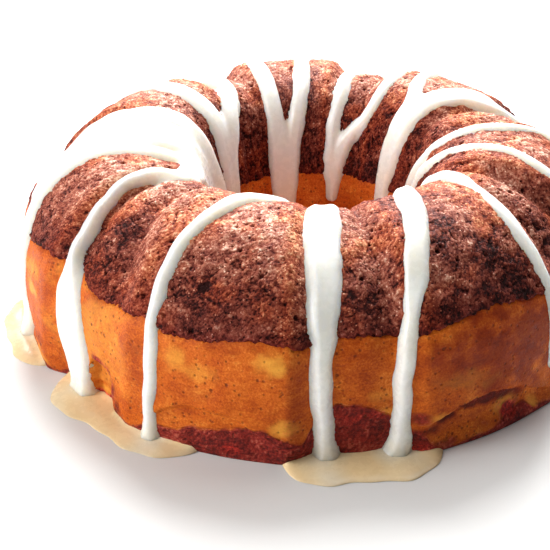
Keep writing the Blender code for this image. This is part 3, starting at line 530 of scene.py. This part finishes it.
def build_crown(material):
    az = np.arange(CROWN_COLUMNS) * 360 / CROWN_COLUMNS - 180
    low = t_at_height(az, crown_height(az), True)
    high = t_at_height(az, inner_edge(az) + 0.0012 * wobble(az, 23, 61, 181), False)
    steps = stretch_rows(low.mean(), high.mean(),
                         lambda t: ROW_OUTSIDE + ROW_INSIDE_MORE * float(smooth((t - 0.56) / 0.16)))
    t = low[:, None] + (high - low)[:, None] * steps
    grid = skin(az[:, None], t)
    edge = np.minimum(t - low[:, None], high[:, None] - t) * SECTION_M
    offset, grain, shade, pit, moist_and_shade = in_parts(crown_relief, grid.reshape(-1, 3), edge.reshape(-1))
    a = np.broadcast_to(az[:, None], t.shape)
    # darker into the hole and at the marked places; painted shade makes it a little darker towards the
    # lower edge, and painted light makes the crest lighter
    damp_and_shade = spots(a, t * SECTION_SCALE, DAMP_AND_SHADE, grid)
    moist_and_shade = 0.40 * moist_and_shade.reshape(t.shape) + damp_and_shade + 0.60 * smooth((t - 0.60) / 0.10)
    moist_and_shade += 0.30 * smooth((0.37 - t) / 0.10) - 0.60 * smooth((t - 0.38) / 0.10) * smooth((0.61 - t) / 0.05)
    ragged = np.abs(edge * (1 + 0.30 * noise(grid, 0.0055, 85)))
    rim = np.maximum(np.exp(-(ragged / 0.0052) ** 1.5), 0.60 * smooth(1 - ragged / 0.017))
    phase = flute_phase(a)
    ridge = np.exp(-((np.abs(phase - np.round(phase)) - FACE_HALF) / 0.045) ** 2)

    off = offset.reshape(t.shape) * smooth(edge / 0.0012 + 0.3) + overhang(edge)
    grid = grid + grid_normals(grid, True) * off[..., None]
    inside = (grid[:, :1] + grid[:, -1:]) / 2
    inside[..., 2] = (crown_height(az)[:, None] + CROWN_IN) / 2 * R
    points = np.concatenate([grid, inside], 1)
    normals = np.concatenate([grid_normals(grid, True), np.broadcast_to([0, 0, -1], inside.shape)], 1)
    fills = {"grain": (grain, 0.5), "shade": (shade, 0.5), "pit": (pit, 0), "rim": (rim, 1),
             "moist_and_shade": (np.clip(moist_and_shade, -0.6, 1.2), 0.5), "ridge": (ridge, 0)}
    attributes = {key: np.c_[values.reshape(t.shape), np.full(len(az), fill)]
                  for key, (values, fill) in fills.items()}
    rows = points.shape[1]
    faces, places = quads(CROWN_COLUMNS, rows, True)
    share = CROWN_COLUMNS // SECTORS
    for k in range(SECTORS):
        mine = places[:, 0, 0] // share == k
        new_piece(f"crown_crumb_{k + 1}", points, faces[mine], places[mine] / [share, rows] - [k, 0],
                  attributes, material, "crown_red_velvet", normals)


def wall_strip(az, lo, hi, rows, foot_edge, gold_edges):
    """Points of the wall from t = lo to hi, and their marks; foot_edge is where red meets golden."""
    t = lo[:, None] + (hi - lo)[:, None] * np.linspace(0, 1, rows)
    p = skin(az[:, None], t)
    n = grid_normals(p, True)
    outer = t < 0.5
    above = np.where(outer, 1, -1) * (t - foot_edge[:, None]) * SECTION_M
    under = np.min([np.abs(t - gold_edge[:, None]) for gold_edge in gold_edges], axis=0) * SECTION_M
    grain, pit = in_parts(lambda q: (grains(q, WALL_GRAIN, 43)[0],
                                     hollows(q, 0.0042, 53, 0.0005, 0.0012, 0.35)), p.reshape(-1, 3))
    grain, pit = grain.reshape(t.shape), pit.reshape(t.shape)
    crumb = 0.00042 * (grain - 0.6) - WALL_PIT_DEPTH * pit ** 0.7 + 0.00016 * noise(p, 0.0030, 44)
    off = rough_skin(p) + 0.00009 * noise(p, 0.0042, 7) + 0.00006 * noise(p * [1, 1, 5], 0.004, 8)
    off = (off + crumb * smooth(0.5 - above / 0.003)) * smooth(p[..., 2] / 0.004)
    off = off - 0.0006 * smooth(1 - (under - 0.0012) / 0.0014)
    p = p + n * off[..., None]
    p[..., 2] = np.maximum(p[..., 2], 0)

    a, z = np.broadcast_to(az[:, None], t.shape), p[..., 2] / R
    above = above + 0.0007 * noise(p, 0.004, 95) + 0.0003 * noise(p, 0.0015, 96)
    above = above + 0.0022 * noise(p, 0.0095, 97) * smooth((np.abs(a) - 50) / 14)
    stained_and_shadowed, yellow, brown_and_shade = (spots(a, z, table, p) * outer for table in (STAINS_AND_SHADOW, YELLOWS, BROWNS_AND_SHADE))
    # crumb is lighter on the grain's tops and darker in pits, partly painted light and shade
    return p, {"tone": np.maximum(smooth(0.5 - above / 0.0026), stained_and_shadowed), "yellow": yellow,
               "brown_and_shade": brown_and_shade, "crumb": np.clip(0.35 + 0.55 * grain - 0.8 * pit, 0, 1)}


def inside_row(one, other, height):
    """A row of points inside the cake that joins two strips' ends, height in R, and its marks."""
    p = (one + other) / 2
    p[..., 2] = height * R
    marks = {"tone": 0.5, "yellow": 0.0, "brown_and_shade": 0.0, "crumb": 0.5}
    return p, {key: np.full(p.shape[:2], value) for key, value in marks.items()}


def build_walls(golden, foot):
    """The golden layer and the foot, whose rows meet on one line and carry on each other's colour."""
    az = np.arange(WALL_COLUMNS) * 360 / WALL_COLUMNS - 180
    foot_top = t_at_height(az, patch_height(az), True)
    foot_in = t_at_height(az, FOOT_IN + 0.012 * wobble(az, 25, 5, 31), False)
    gold_top = t_at_height(az, crown_height(az), True) + TUCKED / SECTION_M
    gold_in = t_at_height(az, inner_edge(az), False) - TUCKED / SECTION_M
    edges = gold_top, gold_in
    outer_foot = wall_strip(az, np.zeros(len(az)), foot_top, FOOT_ROWS, foot_top, edges)
    outer_gold = wall_strip(az, foot_top, gold_top, GOLD_ROWS, foot_top, edges)
    inner_gold = wall_strip(az, gold_in, foot_in, GOLD_INNER_ROWS, foot_in, edges)
    inner_foot = wall_strip(az, foot_in, np.ones(len(az)), FOOT_INNER_ROWS, foot_in, edges)
    low = inside_row(outer_foot[0][:, -1:], inner_foot[0][:, :1], LOW_INSIDE)
    high = inside_row(outer_gold[0][:, -1:], inner_gold[0][:, :1], HIGH_INSIDE)
    for name, parts, material, stands_for, slot in (
            ("golden_wall", [outer_gold, high, inner_gold, low], golden, "golden_layer", "golden_crumb"),
            ("foot_wall", [outer_foot, low, inner_foot], foot, "foot_red_velvet", "foot_crumb")):
        points = np.concatenate([p for p, _ in parts], 1)
        attributes = {key: np.concatenate([marks[key] for _, marks in parts], 1) for key in low[1]}
        faces, places = quads(WALL_COLUMNS, points.shape[1], True)
        new_piece(name, points, faces, places / points.shape[:2], attributes, material, stands_for)


# ---- glaze; sizes in metres, steps in degrees and t
STEP_AZ, STEP_T, AROUND = 0.27, 0.0035, 7.0
EDGE_W, GLAZE_TOP = 0.0030, 0.0021
THIN_OVER_RIDGE = 0.0013  # how much thinner the glaze gets over a ridge
UNDER_GLAZE = 0.45  # share of an undercut that the glaze follows
FRINGE = 0.55  # how far the mesh goes on past the outline, in edge widths
BLUNT = 0.006  # length of a strand's rounded end
NEAREST = 4000  # points looked up at a time
# a pool's rounded rim, how far it goes under the cake, its round ends, and a strand's white reach in it
POOL_RIM, POOL_UNDER, POOL_ENDS, WHITE_REACH = 0.0064, 0.0022, 0.0065, 0.009


def soft_max(a, b, k):
    h = np.clip(0.5 + 0.5 * (a - b) / k, 0, 1)
    return b + (a - b) * h + k * h * (1 - h)


def strand_path(strand, seed):
    """Points every millimetre or so along a strand: (place on the skin, half width, blunt end)."""
    st = np.array(strand, float)
    st = st[np.argsort(st[:, 0])]
    place = skin(st[:, 1], st[:, 0])
    far = np.r_[0, np.cumsum(np.linalg.norm(np.diff(place, axis=0), axis=1))]
    s = np.linspace(0, far[-1], int(far[-1] / 0.0010) + 2)
    t, az, width = natural_spline(far, st)(s).T
    half = width / 2000 * (1 + 0.014 * np.sin(s * 310 + seed * 2.1) + 0.010 * np.sin(s * 730 + seed * 5.3))
    az = az + np.degrees(0.00016 * np.sin(s * 420 + seed * 3.7) / (0.8 * R))
    blunt = np.exp(-s / BLUNT) * (st[0, 0] > 0.01)
    return skin(az, np.clip(t, 0, 1), UNDER_GLAZE), half * (1 + 0.14 * blunt), blunt


def strand_inside(strand, points, seed):
    """Metres inside the strand's outline, negative outside, and how blunt its end is, at points."""
    path, half, blunt = strand_path(strand, seed)
    flat = points.reshape(-1, 3)
    inside, bulb = np.empty(len(flat)), np.empty(len(flat))
    for k in range(0, len(flat), NEAREST):
        d = np.linalg.norm(flat[k:k + NEAREST, None] - path[None], axis=-1)
        best = (half[None] - d).argmax(axis=1)
        inside[k:k + NEAREST] = half[best] - d[np.arange(len(d)), best]
        bulb[k:k + NEAREST] = blunt[best]
    return inside.reshape(points.shape[:-1]), bulb.reshape(points.shape[:-1])


def groove_fill(points):
    """How far the glaze stands up off the skin where it has filled a groove, metres, and which way."""
    level, reach, passes = points, int(3.2 / STEP_AZ), 3
    for _ in range(passes):
        padded = np.pad(level, ((reach + 1, reach), (0, 0), (0, 0)), mode="edge")
        total = np.cumsum(padded, axis=0)
        level = (total[2 * reach + 1:] - total[:-2 * reach - 1]) / (2 * reach + 1)
    normals = grid_normals(level)
    bend = passes * math.radians(reach * STEP_AZ) ** 2 / 6 * np.hypot(points[..., 0], points[..., 1])
    rise = ((level - points) * normals).sum(-1) + bend
    return soft_max(rise, -THIN_OVER_RIDGE, 0.0008), normals


def build_run(name, strands, material, number):
    """A poured run: a height field over the skin, rounded at its outline, which fills grooves."""
    stations = np.concatenate(strands)
    t0, a0, _ = stations.min(axis=0)
    t1, a1, _ = stations.max(axis=0)
    t0, t1 = max(t0 - 0.03, 0), min(t1 + 0.04, 0.985)
    az, t = np.meshgrid(np.arange(a0 - AROUND, a1 + AROUND, STEP_AZ),
                        np.linspace(t0, t1, int((t1 - t0) / STEP_T) + 1), indexing="ij")
    base = skin(az, t, UNDER_GLAZE)
    inside, bulb = strand_inside(strands[0], base, number)
    for k, strand in enumerate(strands[1:]):
        other, more = strand_inside(strand, base, number + 5 * k + 7)
        inside = soft_max(inside, other, 0.0040)
        bulb = np.maximum(bulb, more)
    # wider and thicker where it meets its pool, uneven, and a little swollen at a blunt end
    above_pool = np.maximum(base[..., 2] - POOL_H, 0)
    inside = inside + 0.0014 * np.exp(-above_pool / 0.0016) * (inside > -0.004)
    inside = inside + 0.00010 * noise(base, 0.0085, 100 + number)
    x = inside / EDGE_W
    height = np.where(x > 0, 1 - (1 - np.clip(x, 0, 1)) ** 2, 2 * x) * GLAZE_TOP
    height = height * np.where(x > 0, 1 + 0.22 * bulb, 1)
    wide = smooth((inside - EDGE_W) / 0.006)
    waves = 0.00030 * noise(base, 0.011, 120 + number) + 0.00012 * noise(base, 0.005, 140)
    height = height + wide * waves
    height = height + (x > 0.3) * 0.00010 * noise(base, 0.008, 150 + number) * smooth((x - 0.3) * 2)
    height = height + 0.0016 * np.exp(-above_pool / 0.0015) * smooth(x)
    # over the skin at the outline, over the filled grooves further in, tucked in just outside
    fill, out = groove_fill(base)
    n = skin_normal(az, t, UNDER_GLAZE)
    way = unit(n + (out - n) * smooth((inside + 0.0004) / 0.0016)[..., None])
    tuck = (skin(az, t) - base) * 1.35 * smooth(-x * 4.0)[..., None]
    points = base + way * height[..., None] + tuck
    points = points + out * (fill * smooth((inside - 0.0004) / 0.0026))[..., None]
    points[..., 2] = np.maximum(points[..., 2], 0)
    faces, places = quads(*az.shape, closed=False)
    mine = (x > -FRINGE).reshape(-1)[faces].any(1)
    cream = 0.25 * smooth((t - 0.72) / 0.16) + 0.55 * np.exp(-base[..., 2] / 0.004)
    cream = cream + 0.10 * noise(base, 0.02, 160)
    new_piece(name + "_poured", points, faces[mine], places[mine] / az.shape, {"cream": cream},
              material, name)


def build_pool(name, outline, material, number):
    """A thin pool with a rounded rim, which meets the cake in a small fillet."""
    az_in, radius = np.transpose(outline).astype(float)
    az = np.linspace(az_in[0], az_in[-1], int((az_in[-1] - az_in[0]) / 0.35) + 2)
    a = np.radians(az)
    wall = np.hypot(*skin(az, 0.006)[:, :2].T)
    ripple = 0.0007 * np.sin(a * 23 + number) + 0.0004 * np.sin(a * 61 + 2 * number)
    end = np.clip(np.radians(np.minimum(az - az_in[0], az_in[-1] - az)) * R / 0.009, 0, 1)
    outer = natural_spline(az_in, radius)(az) * R + ripple - POOL_ENDS * (1 - np.sqrt(1 - (1 - end) ** 2))
    inner = np.minimum(wall - POOL_UNDER, outer - 0.0010)
    v = np.r_[np.linspace(0, 0.72, 16), 0.72 + 0.28 * np.sin(np.linspace(0, math.pi / 2, 10))[1:]]
    r = inner[:, None] + (outer - inner)[:, None] * v
    x = np.clip((outer[:, None] - r) / POOL_RIM, 0, 1)
    under = np.stack([r * np.sin(a)[:, None], -r * np.cos(a)[:, None], 0 * r], -1)
    top = under.copy()
    past_wall = r - wall[:, None]
    top[..., 2] = POOL_H * (1 - (1 - x) ** 2) ** 0.75 * (1 + 0.10 * noise(under, 0.012, 170 + number))
    top[..., 2] += 0.0008 * np.exp(-np.maximum(past_wall, 0) / 0.0011) * smooth(x * 2)
    points = np.concatenate([top, under[:, -2:0:-1]], 1)
    rows = points.shape[1]
    # whiter in front of each strand that runs into the pool
    near = np.zeros(len(az))
    for strand in (strand for strands in RUNS for strand in strands):
        last_t, last_az, _ = min(strand)
        if last_t == 0:
            d = np.radians((az - last_az + 180) % 360 - 180) * R / WHITE_REACH
            near = np.maximum(near, np.exp(-d ** 2))
    far = np.clip(past_wall / WHITE_REACH, 0, 1)
    cream = 1.05 - 0.60 * near[:, None] * (1 - 0.6 * far) - 0.05 * far + 0.16 * noise(under, 0.010, 180)
    cream = np.c_[cream, np.full((len(az), rows - cream.shape[1]), 0.6)]
    faces, places = quads(len(az), rows)
    new_piece(name + "_poured", points, faces, places / [len(az), rows], {"cream": cream},
              material, name)


# ---- materials
class Looks:
    """A new node material; each method adds nodes and returns their output."""

    def __init__(self, name):
        self.material = bpy.data.materials.new(name)
        self.material.use_nodes = True
        self.tree = self.material.node_tree
        self.shader = self.tree.nodes["Principled BSDF"]
        self.place = self.node("TexCoord").outputs["Object"]

    def node(self, kind, inputs=None, **settings):
        """One shader node; inputs is {socket: value or other node's output}."""
        made = self.tree.nodes.new("ShaderNode" + kind)
        for key, value in settings.items():
            setattr(made, key, value)
        for key, value in (inputs or {}).items():
            if isinstance(value, bpy.types.NodeSocket):
                self.tree.links.new(value, made.inputs[key])
            else:
                made.inputs[key].default_value = value
        return made

    def attributes(self, *names):
        return [self.node("Attribute", attribute_name=name).outputs["Fac"] for name in names]

    def maths(self, operation, a, b):
        return self.node("Math", {0: a, 1: b}, operation=operation).outputs[0]

    def times(self, a, b):
        return self.maths("MULTIPLY", a, b)

    def total(self, start, *terms):
        """start plus each term's value times its share."""
        for value, share in terms:
            start = self.node("Math", {0: value, 1: share, 2: start}, operation="MULTIPLY_ADD").outputs[0]
        return start

    def mix(self, factor, a, b, blend="MIX"):
        """Colour mix; a is an output, b a colour (three numbers) or an output."""
        b = b if isinstance(b, bpy.types.NodeSocket) else (*b, 1)
        return self.node("Mix", {0: factor, 6: a, 7: b}, data_type="RGBA", blend_type=blend).outputs[2]

    def tint(self, factor, colour, by):
        return self.mix(factor, colour, by, "MULTIPLY")

    def ramp(self, factor, *stops):
        made = self.node("ValToRGB", {0: factor})
        band = made.color_ramp
        while len(band.elements) < len(stops):
            band.elements.new(0.5)
        for element, (place, *colour) in zip(band.elements, stops):
            element.position, element.color = place, (*colour, 1)
        return made.outputs[0]

    def spread(self, value, lo, hi, to_lo=0.0, to_hi=1.0, kind="SMOOTHSTEP"):
        inputs = {0: value, 1: lo, 2: hi, 3: to_lo, 4: to_hi}
        return self.node("MapRange", inputs, interpolation_type=kind).outputs[0]

    def clouds(self, scale, detail=2.0, roughness=0.5, place=None):
        inputs = {"Vector": place or self.place, "Scale": scale, "Detail": detail, "Roughness": roughness}
        return self.node("TexNoise", inputs).outputs[0]

    def dots(self, scale, full, none, lo, hi, patches=None):
        """Dots of 1 within full and 0 beyond none, thinned out from lo to hi by chance or in patches."""
        cells = self.node("TexVoronoi", {"Vector": self.place, "Scale": scale})
        if patches:
            chance = self.clouds(patches)
        else:
            chance = self.node("SeparateColor", {0: cells.outputs["Color"]}).outputs[0]
        dot = self.spread(cells.outputs["Distance"], full, none, 1.0, 0.0)
        return self.times(dot, self.spread(chance, lo, hi))

    def finish(self, colour, roughness, height, strength, distance, specular):
        """Joins the outputs to the shader, with height as its bump, and returns the material."""
        bump = self.node("Bump", {"Height": height, "Strength": strength, "Distance": distance})
        joins = {"Base Color": colour, "Roughness": roughness, "Normal": bump.outputs[0]}
        for key, value in joins.items():
            self.tree.links.new(value, self.shader.inputs[key])
        self.shader.inputs["Specular IOR Level"].default_value = specular
        return self.material


def crown_material():
    looks = Looks("red_velvet_crumb")
    grain, shade, pit = looks.attributes("grain", "shade", "pit")
    moist_and_shade, rim, ridge = looks.attributes("moist_and_shade", "rim", "ridge")
    fine, broad, slow = looks.clouds(1150, 3.0, 0.7), looks.clouds(330, 3.0, 0.6), looks.clouds(55)
    hole = looks.dots(700, 0.14, 0.32, 0.46, 0.56, patches=380)
    glint = looks.dots(1150, 0.18, 0.42, 0.80, 0.90)
    # how light the crumb is: grain tops lighter, partly painted light, with painted glints, and the flutes'
    # edges a little lighter as painted light; pits, pinholes and crevices darker, partly painted shade in
    # the hollows
    light = looks.total(-0.845, (grain, 0.60), (shade, 0.20), (fine, 1.05), (broad, 0.70), (pit, -0.42),
                        (hole, -0.34), (moist_and_shade, -0.26), (glint, 0.40), (ridge, 0.06))
    colour = looks.ramp(light, (0.0, 0.022, 0.003, 0.002), (0.15, 0.085, 0.013, 0.009),
                        (0.32, 0.210, 0.044, 0.027), (0.50, 0.360, 0.106, 0.064),
                        (0.68, 0.540, 0.235, 0.155), (0.92, 0.880, 0.620, 0.480))
    rusty = looks.maths("MAXIMUM", looks.spread(slow, 0.48, 0.66), ridge)
    colour = looks.tint(rusty, colour, (1.12, 0.82, 0.56))
    # darker and redder at damp patches and where shade is painted
    colour = looks.tint(looks.times(moist_and_shade, 0.80), colour, (0.70, 0.50, 0.44))
    colour = looks.tint(looks.times(rim, 0.95), colour, (0.46, 0.17, 0.18))
    roughness = looks.spread(fine, 0.40, 0.66, 0.85, 0.40, "LINEAR")
    height = looks.total(fine, (broad, 0.7), (hole, -0.8))
    return looks.finish(colour, roughness, height, 1.0, 0.00045, 0.12)


def wall_material(name):
    """Baked wall of the lower two layers: golden, and red where tone says."""
    looks = Looks(name)
    tone, yellow, brown_and_shade, crumb = looks.attributes("tone", "yellow", "brown_and_shade", "crumb")
    flat = looks.node("Mapping", {"Vector": looks.place, "Scale": (1, 1, 2)}).outputs[0]
    film, wrinkle = looks.clouds(62, 4.0, 0.7, flat), looks.clouds(240, 4.0, 0.65, flat)
    slow, fine = looks.clouds(75, 3.0, 0.6), looks.clouds(1300, 3.0, 0.7)
    small_pores = looks.dots(430, 0.12, 0.30, 0.38, 0.56, patches=150)
    pore = looks.maths("MAXIMUM", looks.times(small_pores, 0.80), looks.dots(190, 0.07, 0.16, 0.50, 0.62))
    # the golden crumb, its brown film, its browner stretches with their painted shade and the darker
    # painted shadow under a lip, and its pale spots
    light = looks.total(-0.425, (slow, 0.72), (wrinkle, 0.38), (fine, 0.85))
    colour = looks.ramp(light, (0.28, 0.330, 0.042, 0.003), (0.46, 0.500, 0.084, 0.006),
                        (0.62, 0.640, 0.137, 0.012), (0.80, 0.780, 0.250, 0.035))
    filmy = looks.total(looks.spread(film, 0.46, 0.70, 0.0, 0.50), (brown_and_shade, 1.0))
    filmy = looks.times(filmy, looks.total(0.85, (yellow, -0.765)))
    colour = looks.tint(filmy, colour, (0.56, 0.36, 0.34))
    # painted shadow: darker still where the brown mark is stronger than 1
    colour = looks.tint(looks.spread(brown_and_shade, 1.0, 1.6), colour, (0.34, 0.24, 0.30))
    paler = looks.times(yellow, looks.spread(wrinkle, 0.30, 0.62, 0.558, 0.855))
    colour = looks.mix(paler, colour, (0.870, 0.405, 0.055))
    # the red crumb, lit where a pale spot lies on it
    light = looks.total(-0.24, (fine, 0.62), (slow, 0.60), (crumb, 0.48))
    red = looks.ramp(light, (0.34, 0.020, 0.002, 0.002), (0.56, 0.110, 0.010, 0.008),
                     (0.74, 0.310, 0.026, 0.017), (0.96, 0.600, 0.150, 0.095))
    red = looks.tint(yellow, red, (1.90, 1.35, 1.25))
    grainy = looks.total(-0.35, (tone, 1.0), (fine, 0.7))
    colour = looks.mix(looks.spread(grainy, 0.12, 0.85, kind="LINEAR"), colour, red)
    colour = looks.mix(looks.times(pore, 0.72), colour, (0.100, 0.016, 0.004))
    roughness = looks.spread(wrinkle, 0.3, 0.7, 0.42, 0.65, "LINEAR")
    height = looks.total(0.0, (fine, 0.6), (wrinkle, 0.8), (looks.times(fine, tone), 1.6), (pore, -1.0))
    return looks.finish(colour, roughness, height, 0.75, 0.00040, 0.13)


def glaze_material(name, clear):
    """White glaze; clear is how much light goes into it."""
    looks = Looks(name)
    cream, = looks.attributes("cream")
    slow, fine = looks.clouds(90), looks.clouds(420)
    colour = looks.ramp(looks.total(-0.125, (cream, 1.0), (slow, 0.25)),
                        (0.0, 0.900, 0.890, 0.830), (0.35, 0.890, 0.820, 0.680),
                        (0.75, 0.930, 0.740, 0.460), (1.0, 0.940, 0.690, 0.370))
    looks.shader.inputs["Subsurface Weight"].default_value = clear
    looks.shader.inputs["Subsurface Radius"].default_value = (1.0, 0.9, 0.75)
    looks.shader.inputs["Subsurface Scale"].default_value = 0.0060
    roughness = looks.spread(fine, 0.3, 0.7, 0.20, 0.34, "LINEAR")
    return looks.finish(colour, roughness, slow, 0.25, 0.0008, 0.45)


# ---- stage, light, camera
FLOOR_HALF, FLOOR_Z = 30.0, -0.0002
FLOOR_COLOUR, WORLD_STRENGTH = (0.80, 0.80, 0.79, 1), 0.07
LIGHT_DISTANCE, LIGHT_TARGET = 1.2, Vector((0, 0, 0.03))
PHOTO_SIZE, SENSOR = 550, 36.0
ELEVATION, DISTANCE = math.radians(31.0), 4 * R
FOCAL = 1132.0  # the camera's focal length in the photo's pixels
ORIGIN_AT = (36.0, -9.0)  # pixels from the picture's middle to the cake's origin, right and up


def build_stage():
    mesh = bpy.data.meshes.new("floor")
    corners = [(x * FLOOR_HALF, y * FLOOR_HALF, FLOOR_Z) for x, y in ((-1, -1), (1, -1), (1, 1), (-1, 1))]
    mesh.from_pydata(corners, [], [(0, 1, 2, 3)])
    floor = bpy.data.objects.new("floor", mesh)
    bpy.context.scene.collection.objects.link(floor)
    pale = bpy.data.materials.new("pale_floor")
    pale.use_nodes = True
    shader = pale.node_tree.nodes["Principled BSDF"]
    shader.inputs["Base Color"].default_value = FLOOR_COLOUR
    shader.inputs["Roughness"].default_value = 0.7
    mesh.materials.append(pale)
    world = bpy.data.worlds.new("studio")
    world.use_nodes = True
    background = world.node_tree.nodes["Background"]
    background.inputs["Color"].default_value = (1, 1, 1, 1)
    background.inputs["Strength"].default_value = WORLD_STRENGTH
    bpy.context.scene.world = world


def area_light(name, azimuth, elevation, size, power, colour=(1, 1, 1)):
    """A round light at LIGHT_DISTANCE that shines on the cake."""
    data = bpy.data.lights.new(name, "AREA")
    data.shape, data.size, data.energy, data.color = "DISK", size, power, colour
    obj = bpy.data.objects.new(name, data)
    bpy.context.scene.collection.objects.link(obj)
    a, e = math.radians(azimuth), math.radians(elevation)
    way = Vector((math.sin(a) * math.cos(e), -math.cos(a) * math.cos(e), math.sin(e)))
    obj.location = way * LIGHT_DISTANCE
    obj.rotation_mode = "QUATERNION"
    obj.rotation_quaternion = (LIGHT_TARGET - obj.location).to_track_quat("-Z", "Y")


def build_camera():
    """As photographed: 31 degrees above the cake's foot, four foot radii away, a little off centre."""
    right, up = ORIGIN_AT[0] / FOCAL, ORIGIN_AT[1] / FOCAL
    beta = math.atan(up)
    length = math.sqrt(1 + right ** 2 + up ** 2)
    pitch = beta + math.asin(math.sin(ELEVATION) * length * math.cos(beta))
    turn = math.atan2(right, math.cos(pitch) + up * math.sin(pitch))
    data = bpy.data.cameras.new("camera")
    data.sensor_width = SENSOR
    data.lens = FOCAL / PHOTO_SIZE * SENSOR
    data.clip_start, data.clip_end = 0.02, 100
    cam = bpy.data.objects.new("camera", data)
    cam.location = (0, -DISTANCE * math.cos(ELEVATION), DISTANCE * math.sin(ELEVATION))
    cam.rotation_euler = (math.pi / 2 - pitch, 0, turn)
    bpy.context.scene.collection.objects.link(cam)
    bpy.context.scene.camera = cam


def main():
    build_camera()
    build_stage()
    area_light("back", 180, 39, 1.0, 52.0)
    area_light("back_right", 140, 60, 0.8, 6.0)
    area_light("window", -72, 22, 0.7, 12.5, (1.0, 0.99, 0.97))
    area_light("fill", -45, 45, 1.0, 2.6)
    build_crown(crown_material())
    build_walls(wall_material("golden_crumb_wall"), wall_material("foot_crumb_wall"))
    poured, pooled = glaze_material("poured_glaze", 1.0), glaze_material("pooled_glaze", 0.15)
    for number, strands in enumerate(RUNS):
        build_run(f"glaze_run_{number + 1}", strands, poured, number)
    for number, (name, outline) in enumerate(POOLS.items()):
        build_pool(name, outline, pooled, number)
    bpy.context.scene.view_settings.view_transform = "Standard"


main()
